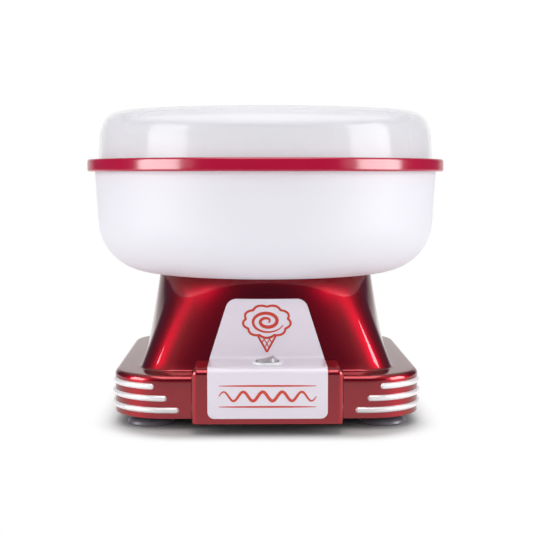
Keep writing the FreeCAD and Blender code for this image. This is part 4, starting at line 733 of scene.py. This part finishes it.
# %% Where the tower's wall is
def tower_front(x, z, outset):
    """How far forward the tower's wall is at (x, z), pushed out by outset.

    On the wall x = (1 - t) run u + t R sin(a u) and y = -((1 - t) half + t R cos(a u)).
    u is found from x by repeating u = x / (what multiplies u) a few times.
    """
    run, radius = TOWER_FOOT_HALF - TOWER_FOOT_CORNER, TOWER_RADIUS + outset
    half, corner = TOWER_FOOT_HALF + outset, TOWER_FOOT_CORNER + outset
    angle = np.pi / 4 * 2 * run / (2 * run + corner * np.pi / 2)
    t = np.clip((z - DECK_TOP - outset) / (TOWER_TOP - DECK_TOP), 0, 1)
    u = x / run
    for _ in range(8):
        u = x / ((1 - t) * run + t * radius * angle * np.sinc(angle * u / np.pi))
    return -((1 - t) * half + t * radius * np.cos(angle * u))


print("front at foot and top", tower_front(0.0, np.array([DECK_TOP, TOWER_TOP]), 0.0))

# %% [markdown]
# ## The panel's sheet
# The middle line goes up the front, over the bend, along the ledge and up the slope.  The sheet
# is that line made wide, and its width shrinks like a quarter circle at both ends.

# %% The panel's surface
END_CORNER, TOP_CORNER, LEDGE_BEND, LEAN = 5.0, 6.0, 3.0, 6.0
PANEL_STEP, PANEL_COLUMNS, SOFT_EDGE = 1.5, 49, 0.35


def panel_line():
    """Depth and height along the middle of the panel: front, bend, ledge, bend, slope."""
    front = -(CONSOLE_FRONT + PANEL_THICK)
    low, high = tower_front(0.0, np.array([LEDGE, PANEL_TOP]), PANEL_THICK)
    return rounded([(front, PANEL_BOTTOM, 0), (front, LEDGE, CONSOLE_ROUND + PANEL_THICK),
                    (low, LEDGE, LEDGE_BEND), (high, PANEL_TOP, 0)], steps=12)


def panel_width(line):
    """Half width along the line: full to the ledge, narrower up the slope, rounded ends."""
    along = lengths_along(line)
    rise = np.clip((line[:, 1] - LEDGE) / (PANEL_TOP - LEDGE), 0, 1)
    width = PANEL_HALF + (PANEL_TOP_HALF - PANEL_HALF) * rise
    for distance, corner in ((along, END_CORNER), (along[-1] - along, TOP_CORNER)):
        inside = np.clip(distance, 0, corner)
        width = width - (corner - np.sqrt(corner ** 2 - (corner - inside) ** 2))
    return width


def panel_sheet():
    """Rows along the line, columns across; the slope's depth follows the tower."""
    line = finer(panel_line(), PANEL_STEP)
    length = lengths_along(line)
    ends = END_CORNER * (1 - np.cos(quarter_turn(9)))
    top_ends = length[-1] - TOP_CORNER / END_CORNER * ends
    line = points_at(line, np.unique(np.concatenate([length, ends, top_ends]).round(4)))
    x = panel_width(line)[:, None] * np.linspace(-1, 1, PANEL_COLUMNS)
    z = np.broadcast_to(line[:, 1:], x.shape)
    middle = tower_front(np.zeros_like(x), z, PANEL_THICK)
    climb = np.clip((z - LEDGE) / LEAN, 0, 1)
    y = line[:, :1] + climb * (tower_front(x, z, PANEL_THICK) - middle)
    return np.stack([x, y, z], axis=-1)


def fascia():
    """The sheet, thickened inwards, cut for the switch, with its edges softened."""
    piece = skin("fascia_plate", panel_sheet(), wrap_columns=False)
    if piece.data.polygons[len(piece.data.polygons) // 8].normal.y > 0:
        piece.data.flip_normals()
    wall = piece.modifiers.new("thickness", "SOLIDIFY")
    wall.thickness, wall.offset, wall.use_even_offset = PANEL_THICK * MM, -1.0, True
    apply_modifiers(piece)
    bore(piece, SWITCH_HOLE, (0, SWITCH_Y, 44), (0, SWITCH_Y, 55))
    soft = piece.modifiers.new("soft edge", "BEVEL")
    soft.width, soft.segments = SOFT_EDGE * MM, 2
    soft.limit_method, soft.angle_limit = "ANGLE", math.radians(60)
    apply_modifiers(piece, sharp=40)
    return piece


settle(fascia(), "base", "panel_gloss_white", "fascia_panel")

# %% [markdown]
# ## Printed ornament
# The panel carries a generic print: a swirl of spun sugar on a plain cone, and running lines
# below the switch.  A texture could draw it, but thin raised ink is crisp at any distance.  Each
# stroke is a ribbon: a middle line with a width that swells and thins, laid on the panel.

# %% Ink that lies on the panel
INK = 0.10


def on_panel(stroke, lift):
    """A stroke's points (x, z) on the panel's front surface, raised by lift."""
    x, z = stroke[..., 0], stroke[..., 1]
    slope = tower_front(x, z, PANEL_THICK + lift)
    front = -(CONSOLE_FRONT + PANEL_THICK + lift)
    return np.stack([x, np.where(z > LEDGE + LEDGE_BEND, slope, front), z], axis=-1)


def ribbon(middle, width):
    """From edge to edge: the middle line plus shares of half the width along its normal."""
    along = np.gradient(middle, axis=0)
    along /= np.linalg.norm(along, axis=1, keepdims=True)
    half = left(along) * np.broadcast_to(width, len(middle))[:, None] / 2
    return middle[:, None] + np.linspace(-1, 1, 5)[:, None] * half[:, None]


def ink_piece(name, strokes):
    """Every stroke as a thin closed slab with a raised face and a sunk one."""
    vertices, faces, first = [], [], 0
    for stroke in strokes:
        ring = np.concatenate([on_panel(stroke, INK), on_panel(stroke, -INK)[:, ::-1]], axis=1)
        rows, around = ring.shape[:2]
        vertices.append(ring.reshape(-1, 3))
        faces += grid_faces(rows, around, first=first).tolist()
        for end in first + np.arange(rows * around).reshape(rows, around)[[0, -1]]:
            faces += [[end[k], end[k + 1], end[-2 - k], end[-1 - k]]
                      for k in range(around // 2 - 1)]
        first += rows * around
    return from_faces(name, np.concatenate(vertices), faces, sharp=40)


print("ink stands", INK, "mm off the panel")

# %% [markdown]
# ## The strokes
# The cloud's outline is an ellipse whose reach swells nine times round.  A spiral winds inside
# it, and a cone hangs below with crossed lines.  Under the switch a wave runs between two rules.

# %% The ornament's strokes
SWIRL_CENTRE, SWIRL_REACH = np.array([0.0, 77.4]), np.array([16.0, 10.8])
CONE_TIP, CONE_LEFT = np.array([0, 54.8]), np.array([-6.6, 66.4])
RULE_HALF, WAVE_HEIGHT, WAVE_REACH, WAVES = 35, 28.8, 3.3, 5


def swirl_strokes():
    """The cloud with nine bumps, the spiral inside it, and the cone of crossed lines."""
    share = np.linspace(0, 1, 217)
    turn = 2 * np.pi * share
    bump = 1 + 0.13 * np.abs(np.sin(4.5 * turn))
    cloud = SWIRL_CENTRE + SWIRL_REACH * (bump[:, None] * circle(turn)[:, ::-1])
    angle = -0.3 * np.pi + 2 * np.pi * 2.1 * share
    radius = (0.08 + 0.72 * share)[:, None]
    spiral = SWIRL_CENTRE + SWIRL_REACH * radius * circle(angle)
    strokes = [ribbon(cloud, 1.7), ribbon(spiral, 0.5 + 2.1 * np.sin(np.pi * share) ** 0.7)]
    run = np.linspace(0, 1, 12)[:, None]
    for at_rim, at_tip, wide in (([0, 0], [0, 0], 1.5), ([3.4, -0.2], [1.7, 3.2], 0.8),
                                 ([7.6, -0.4], [3.6, 6.9], 0.8)):
        for side in (1, -1):
            mirror = np.array([side, 1])
            start, end = (CONE_LEFT + at_rim) * mirror, CONE_TIP + at_tip * mirror
            strokes.append(ribbon(start + (end - start) * run, wide))
    return strokes


def running_strokes():
    """Two straight rules and an even wave between them, all thinning towards their ends."""
    share = np.linspace(0, 1, 260)
    x = -RULE_HALF + 2 * RULE_HALF * share
    thin = np.sqrt(np.sin(np.pi * np.clip(share, 0.004, 0.996)))
    wave = WAVE_HEIGHT + WAVE_REACH * np.sin(2 * np.pi * WAVES * share)
    strokes = [ribbon(np.stack([x, wave], axis=1), 0.4 + 1.9 * thin)]
    for height in (36.4, 21.2):
        strokes.append(ribbon(np.stack([x, np.full_like(x, height)], axis=1), 0.3 + 1.0 * thin))
    return strokes


ink = plain("screen-printed red ink", "C8402F", 0.32, IOR=1.5, grain=0.8, relief=0.002)
for name, strokes in (("print_swirl", swirl_strokes()), ("print_lines", running_strokes())):
    settle(ink_piece(name, strokes), "base", "panel_gloss_white", look=ink)

# %% [markdown]
# ## Bowl, ring and shield
# These three are bodies of revolution, moulded with an even wall.  A lathe makes them: one
# closed profile in radius and height, swept round the spin axis.  Both faces of the wall are
# drawn, so the white body and the milky shield have their true thickness.

# %% Lathed bowl and ring
# corners of each wall's section: distance from the axis, height, radius of the corner's arc
BOWL = ((53.5, 109.3, 0.6), (134.1, 109.3, 42.0),   # under the collar, then the long corner
        (139.0, 191.8, 0.8), (136.2, 191.8, 0.8),   # the rim
        (131.46, 112.1, 39.2), (56.3, 112.1, 2.0),  # back down inside, to the collar's root
        (56.3, 127.3, 0.8), (53.5, 127.3, 0.8))     # the collar's top
RING = ((139.1, 189.7, 0.4), (144.98, 189.7, 1.5),  # the skirt outside the bowl's wall
        (144.98, 199.5, 1.8), (136.7, 199.5, 0.5),  # the top
        (136.7, 194.0, 0.3), (132.0, 194.0, 0.5),   # the ledge under the shield
        (132.0, 191.8, 0.5), (139.1, 191.8, 0.3))   # the face that rests on the rim
KEY_START, KEY_END, KEY_HALF, KEY_LOW, KEY_HIGH = 50, 55.1, 4.5, 107.0, 117.5
LATHE_STEP = 3.0


def lathe(name, line, sharp=32.0):
    """A closed line swept round the axis; the last row joins the first."""
    line = finer(np.vstack([line, line[:1]]), LATHE_STEP)[:-1]
    return skin(name, turned_grid(line), wrap_rows=True, sharp=sharp)


def key_notch(turn):
    """A closed box across the collar's wall at one angle, to cut the slot for a key."""
    out, side = circle(np.array([turn, turn + np.pi / 2]))
    plan = [reach * out + across * KEY_HALF * side for reach, across in (
        (KEY_START, -1), (KEY_END, -1), (KEY_END, 1), (KEY_START, 1))]
    box = at_heights(np.stack([plan, plan]), np.array([KEY_LOW, KEY_HIGH]))
    return capped("key_notch", box, *box.mean(axis=1))


bowl = lathe("bowl_shell", rounded(BOWL, 14))
for turn in np.radians([0, 120, 240]):
    combine(bowl, key_notch(turn), "DIFFERENCE")
settle(bowl, "bowl", "bowl_white", "bowl")
settle(lathe("rim_ring_shell", rounded(RING, 10)), "bowl", "ring_raspberry", "rim_ring")

# %% [markdown]
# ## The shield's profile
# The shield goes up nearly straight, rounds over a wide shoulder and ends in a lip that turns
# back down.  The shoulder is a quarter of an ellipse, because an arc would look too pinched.

# %% The splash shield
SHIELD_WALL, SHIELD_FOOT, SHIELD_SHOULDER, SHIELD_TOP = 2.0, 194.3, 215.0, 237.0
FOOT_REACH, SHOULDER_REACH, CREST_REACH, LIP_ROUND = 136.2, 134.9, 121.0, 4.2


def quarter_ellipse(foot, crest, steps=22):
    """From (r0, z0), upright, to (r1, z1), flat: r1 + (r0-r1) cos t, z0 + (z1-z0) sin t."""
    reach = np.array([foot[0] - crest[0], crest[1] - foot[1]])
    return np.array([crest[0], foot[1]]) + reach * circle(quarter_turn(steps))


def shield_side(inset):
    """Foot, shoulder and rounded lip of the outside, or of the inside when inset by the wall."""
    shoulder = quarter_ellipse((SHOULDER_REACH - inset, SHIELD_SHOULDER),
                               (CREST_REACH, SHIELD_TOP - inset))
    lip = (LIP_ROUND - inset) * circle(np.radians(np.linspace(90, 180, 9)))
    lip += (CREST_REACH, SHIELD_TOP - LIP_ROUND)
    return np.vstack([[(FOOT_REACH - inset, SHIELD_FOOT)], shoulder, lip[1:]])


# up the outside, over the shoulder, round the lip, and back down the inside
lip_end = [(117.1, 230.8), (118.5, 230.8)]
line = np.vstack([shield_side(0), lip_end, shield_side(SHIELD_WALL)[::-1]])
settle(lathe("shield_shell", line, sharp=50), "shield", "shield_frosted", "splash_shield")

# %% [markdown]
# ## Feet
# Each foot is a soft cup on a stem, with a barb that snaps into the bottom plate.  It is a short
# profile turned about the foot's own axis, and both its ends close on that axis.

# %% Feet
FOOT_CENTRE, FOOT_STEP = 88.0, 1.2


def foot_skin(name, x, y):
    """From the cup's hollow round its lip to the stem and the barb, turned about (x, y)."""
    hollow = quarter_ellipse((15.3, 0.0), (0.0, 2.8), 10)[::-1]
    lip = [(16.6, 0.0), (17.3, 0.4)]
    flare = [(17.5, 1.4), (16.4, 3.4), (13.0, 5.1), (9.4, 6.2), (8.0, 7.2)]
    stem = [(8.0, 9.0), (4.0, 9.0), (4.0, 11.55)]
    barb = [(5.4, 11.6), (2.2, 14.5), (0.0, 14.6)]
    line = finer(np.vstack([hollow, lip, flare, stem, barb]), FOOT_STEP)
    return skin(name, turned_grid(line, 96) + np.array([x, y, 0]), sharp=38)


for node in sorted(name for name in nodes if name.startswith("foot_")):
    x = -FOOT_CENTRE if "left" in node else FOOT_CENTRE
    y = -FOOT_CENTRE if "front" in node else FOOT_CENTRE
    settle(foot_skin(node + "_skin", x, y), "base", "foot_rubber", node)

# %% [markdown]
# ## Bright trims
# Three short bars wrap each front corner of the plinth.  A bar is half an ellipse in section,
# standing on the wall, and the half-ellipses get smaller towards its rounded ends.  Its path
# runs along the front wall, round the corner and back along the side wall.

# %% Trims
TRIM_HIGH, TRIM_PROUD, TRIM_SUNK, STRAIGHT_RUN = 2.2, 2.0, 0.15, 20


def trim_path():
    """Points on the plinth's wall round one front corner, and the way out of the wall there."""
    run = PLINTH_HALF - PLINTH_CORNER
    out = circle(quarter_turn(91))[:, ::-1] * (1, -1)
    corner = np.array([run, -run]) + PLINTH_CORNER * out
    wall = np.vstack([[(run - STRAIGHT_RUN, -PLINTH_HALF)], corner,
                      [(PLINTH_HALF, STRAIGHT_RUN - run)]])
    return wall, np.vstack([out[:1], out, out[-1:]])


def trim_skin(name, side, height, end):
    """Half-ellipses along the path; near an end they shrink by sqrt(1 - ((r - d) / r)^2)."""
    wall, out = trim_path()
    length = lengths_along(wall)
    rising = wall[:len(wall) // 2, 0]
    first = np.interp(end, rising, length[:len(rising)])
    last = length[-1] - first
    ease = TRIM_HIGH * (1 - np.cos(quarter_turn(9)))
    straight = np.linspace(first + TRIM_HIGH, last - TRIM_HIGH, 48)[1:-1]
    along = np.concatenate([first + ease, straight, last - ease[::-1]])
    near = np.clip(np.minimum(along - first, last - along), 0, TRIM_HIGH)
    small = np.sqrt(np.clip(1 - ((TRIM_HIGH - near) / TRIM_HIGH) ** 2, 0, 1))[:, None]
    x, y, out_x, out_y = (np.interp(along, length, line)[:, None] for line in (*wall.T, *out.T))
    half = np.linspace(-np.pi / 2, np.pi / 2, 13)
    proud = np.concatenate([TRIM_PROUD * np.cos(half), [-TRIM_SUNK, -TRIM_SUNK]]) * small
    rise = np.concatenate([TRIM_HIGH * np.sin(half), [TRIM_HIGH, -TRIM_HIGH]]) * small
    grid = np.stack([side * (x + out_x * proud), y + out_y * proud, height + rise], axis=-1)
    return skin(name, grid, sharp=50)


# each bar's height, and how far from the middle plane its front end lies
for row, height, end in (("upper", 32.0, 83.3), ("middle", 23.3, 73.7), ("lower", 14.5, 64.7)):
    for side_name, side in (("left", -1), ("right", 1)):
        trim = trim_skin(f"trim_{side_name}_{row}_bar", side, height, end)
        settle(trim, "base", "trim_chrome", f"trim_{side_name}_{row}")

# %% [markdown]
# ## The switch
# The switch is two mouldings: a round bezel with a well, and a rocker that tips in it.  The
# bezel is turned like the feet.

# %% Switch bezel
PIVOT, PIN_BORE, BORE_END = 48.6, 1.4, 9.8
# corners of its section: distance from its axis, height, radius of the corner's arc
BEZEL = ((0, 31.6, 0), (9.9, 31.6, 0.6), (9.9, LEDGE, 0),           # the body in its hole
         (11.5, LEDGE, 0.15), (11.5, 51.4, 0.9), (8.8, 51.4, 0.35),  # the rim on the panel
         (8.8, 43.4, 0.5), (0, 43.4, 0))                             # the well


bezel = skin("switch_bezel", turned_grid(rounded(BEZEL), 128) + np.array([0, SWITCH_Y, 0]))
bore(bezel, PIN_BORE, (0, SWITCH_Y - BORE_END, PIVOT), (0, SWITCH_Y + BORE_END, PIVOT))
settle(bezel, "base", "switch_white", "switch_body")

# %% [markdown]
# ## The rocker
# The rocker is a round button whose top is a shallow valley between two ridges.  Its grid is
# made of rings: out along the underside, up the wall and in over the top, where a point's height
# depends on how far across it lies.  It is drawn level and then tipped about its pins, as it
# stands when the machine is off.

# %% Rocker
UNDER_REACH, WALL_REACH, TOP_REACH, EDGE_ROUND, UNDERSIDE = 7.5, 7.4, 7.1, 0.5, -1.8
PIN, PIN_END, OFF_TILT = 1.2, 9.7, -14


def rocker_top(x):
    """Valley 3.9 high in the middle, ridges 4.7 high at 5.4 across, 2.6 high at the rim."""
    return np.interp(np.abs(x), [0.0, 2.0, 4.4, 5.4, 6.0, 7.9], [3.9, 4.0, 4.5, 4.68, 4.55, 2.6])


def rocker_skin():
    """Rings of a round button, with pins, tipped about them to where off leaves it."""
    soft = quarter_turn(5)
    radius = np.concatenate([[0, UNDER_REACH], WALL_REACH + EDGE_ROUND * np.sin(soft),
                             WALL_REACH + EDGE_ROUND * np.cos(soft), np.linspace(TOP_REACH, 0, 26)])
    plan = radius[:, None, None] * circle(full_turn(96))
    z = rocker_top(plan[..., 0])
    z[:2] = UNDERSIDE - EDGE_ROUND
    z[2:7] = UNDERSIDE - EDGE_ROUND * np.cos(soft)[:, None]
    z[7:12] -= EDGE_ROUND * (1 - np.sin(soft))[:, None]
    piece = skin("rocker_button", np.dstack([plan, z]))
    combine(piece, rod("pins", PIN, (0, -PIN_END, 0), (0, PIN_END, 0), 40), "UNION")
    piece.data.transform(Matrix.Translation((0, SWITCH_Y * MM, PIVOT * MM))
                         @ Matrix.Rotation(math.radians(OFF_TILT), 4, "Y"))
    return piece


settle(rocker_skin(), "rocker", "rocker_grey", "switch_rocker")

# %% [markdown]
# ## The table
# The machine stands on a white table.  Close to the feet the sheet is matt, takes their shadow,
# and is painted a darker grey there as a painted shadow.  Further out it fades to plain white for
# the camera, and reflections see it white too until it meets the dim room half a metre in front.

# %% Table
TABLE_HALF = 2000.0
# the rounded box round the feet where the sheet keeps its shadow and is painted darker grey as a
# painted shadow
SHADOW_SHIFT, SHADOW_HALF = (0, 0.014, 0), (0.060, 0.074, 0)
FADE_START, FADE_END = 0.045, 0.076
DIM_Y, WHITE_Y, DIM = -0.6, -0.4, 0.08


def ray(tree, kind):
    """One for rays of the kind, otherwise zero."""
    return add(tree, "LightPath")[f"Is {kind} Ray"]


def straight(tree):
    """One for rays from the camera or through a clear piece, otherwise zero."""
    return maths(tree, "ADD", ray(tree, "Camera"), ray(tree, "Transmission"), use_clamp=True)


def table_top():
    """A plain 4 m sheet with painted shadow, darker grey near the feet; past a rounded box round
    them it is white instead of matt.
    """
    corners = [(TABLE_HALF * x, TABLE_HALF * y, 0) for x, y in SQUARE]
    piece = from_faces("table_top", corners, [(0, 1, 2, 3)])
    material, tree, place = open_finish("matt white table with painted shadow")
    folded = vectors(tree, "ABSOLUTE", vectors(tree, "ADD", place, SHADOW_SHIFT))
    beyond = vectors(tree, "SUBTRACT", folded, SHADOW_HALF)
    away = vectors(tree, "LENGTH", vectors(tree, "MAXIMUM", beyond))
    fade = between(tree, away, 0.0, 1.0, FADE_START, FADE_END, "SMOOTHSTEP")
    depth = add(tree, "SeparateXYZ", {"Vector": place})["Y"]
    ends = between(tree, depth, DIM, 1.0, DIM_Y, WHITE_Y, "SMOOTHSTEP")
    # painted shadow: the matt colour runs from darker grey C2C2C2 near the feet to F6F6F6 further
    # out, on top of the real shadow
    matt = add(tree, "BsdfDiffuse", {"Color": tinted(tree, fade, "C2C2C2", "F6F6F6")})["BSDF"]
    white = add(tree, "Emission", {"Color": linear("FFFFFF"), "Strength": choice(
        tree, ray(tree, "Glossy"), 1.0, ends)})["Emission"]
    looks = maths(tree, "ADD", straight(tree), ray(tree, "Glossy"), use_clamp=True)
    mix = add(tree, "MixShader", {0: maths(tree, "MULTIPLY", fade, looks), 1: matt, 2: white})
    add(tree, "OutputMaterial", {"Surface": mix["Shader"]})
    piece.data.materials.append(material)
    print("table fades to white", FADE_START, "to", FADE_END, "m past the feet")


table_top()

# %% [markdown]
# ## White wall, dim room
# The world is white behind the machine and pale overhead.  Towards the camera's side it falls
# to the dim violet of an unlit room, which only reflections show.  The dimness keeps the front
# of the tower dark.  What the world gives as light is one even level.

# %% World
EVEN_LIGHT, ROOM, PALE_WALL, PALE_CEILING, TINT_END = 0.5, 0.26, 0.8, 0.7, 0.4
WALL_FROM, WALL_TO, CEILING_FROM = 0.74, 0.97, 0.4


def white_world():
    """Background strength: white for the camera, white to dim in reflections, even as light."""
    world = bpy.data.worlds.new("studio")
    tree = empty_tree(world)
    way = add(tree, "SeparateXYZ", {"Vector": add(tree, "TexCoord")["Generated"]})
    wall = between(tree, way["Y"], ROOM, PALE_WALL, WALL_FROM, WALL_TO, "SMOOTHSTEP")
    ceiling = between(tree, way["Z"], ROOM, PALE_CEILING, CEILING_FROM, 1.0, "SMOOTHSTEP")
    mirrored = maths(tree, "MAXIMUM", wall, ceiling)
    light = choice(tree, ray(tree, "Glossy"), EVEN_LIGHT, mirrored)
    strength = choice(tree, straight(tree), light, 1.0)
    tone = tinted(tree, between(tree, strength, 0.0, 1.0, ROOM, TINT_END), "B4A8D2", "FFFFFF")
    shine = add(tree, "Background", {"Color": tone, "Strength": strength})["Background"]
    add(tree, "OutputWorld", {"Surface": shine})
    world.cycles.sampling_method = "NONE"
    scene.world = world
    print("world gives", EVEN_LIGHT, "as light and", ROOM, "to", PALE_WALL, "in reflections")


white_world()

# %% [markdown]
# ## Softboxes
# A tall softbox on each side draws the bright patches on the shield and the ring and the red
# glow down the tower's corners.  A box's reflection is set apart from its light, because a box
# is brighter to look at than the light on the machine tells.  The weak fills in front and behind
# are kept out of reflections.

# %% Lamps
SHINE_AHEAD = 0.01


def softbox(name, place, aim, size, bright, shine=0.0):
    """Up to two lamps in one rectangle, light and reflection; power = pi x brightness x area."""
    towards = Vector(aim) - Vector(place)
    for part, level, ahead in (("light", bright, 0.0), ("shine", shine, SHINE_AHEAD)):
        if level == 0:
            continue
        light = bpy.data.lights.new(name + "_" + part, "AREA")
        light.shape, light.size, light.size_y = "RECTANGLE", *size
        light.energy = math.pi * level * size[0] * size[1]
        lamp = bpy.data.objects.new(name + "_" + part, light)
        lamp.location = Vector(place) + towards.normalized() * ahead
        lamp.rotation_euler = towards.to_track_quat("-Z", "Y").to_euler()
        lamp.visible_camera = False
        lamp.visible_glossy = part == "shine"
        lamp.visible_diffuse = part == "light"
        scene.collection.objects.link(lamp)


# name, place, aim, width and height in metres, brightness as light, brightness in reflections
for row in (("left_box", (-1.17, -0.54, 0.42), (0, -0.54, 0.42), (0.72, 0.78), 3.3, 9.8),
            ("right_box", (1.17, -0.44, 0.42), (0, -0.44, 0.42), (0.74, 0.78), 3.3, 9.8),
            ("left_scrim", (-1.17, -1.07, 0.465), (0, -1.07, 0.465), (0.34, 0.69), 0.0, 1.0),
            ("right_scrim", (1.17, -0.98, 0.465), (0, -0.98, 0.465), (0.34, 0.69), 0.0, 1.0),
            ("top_box", (0, -0.05, 1.35), (0, 0, 0.1), (1.1, 0.55), 3.6, 3.0),
            ("high_strip", (0, -0.80, 1.36), (0, -0.80, 0), (1.1, 1.2), 0.6, 2.4),
            ("front_fill", (0, -2.1, 0.85), (0, 0, 0.12), (1.6, 0.7), 1.15),
            ("back_fill", (0, 2.2, 0.5), (0, 0, 0.12), (1.6, 0.9), 1.4)):
    softbox(*row)
print("lamps", len(bpy.data.lights))

# %% [markdown]
# ## Camera
# The camera stands a metre in front at the height of the bowl and looks slightly down.

# %% Camera
lens = bpy.data.cameras.new("camera")
lens.lens, lens.sensor_width = 77.6, 36.0
camera = bpy.data.objects.new("camera", lens)
camera.location = (-0.011, -0.950, 0.1874)
camera.rotation_euler = (math.radians(90 - 4.58), 0, math.radians(-0.717))
scene.collection.objects.link(camera)
scene.camera = camera
scene.view_settings.view_transform = "Standard"
print("camera at", [round(value, 3) for value in camera.location])
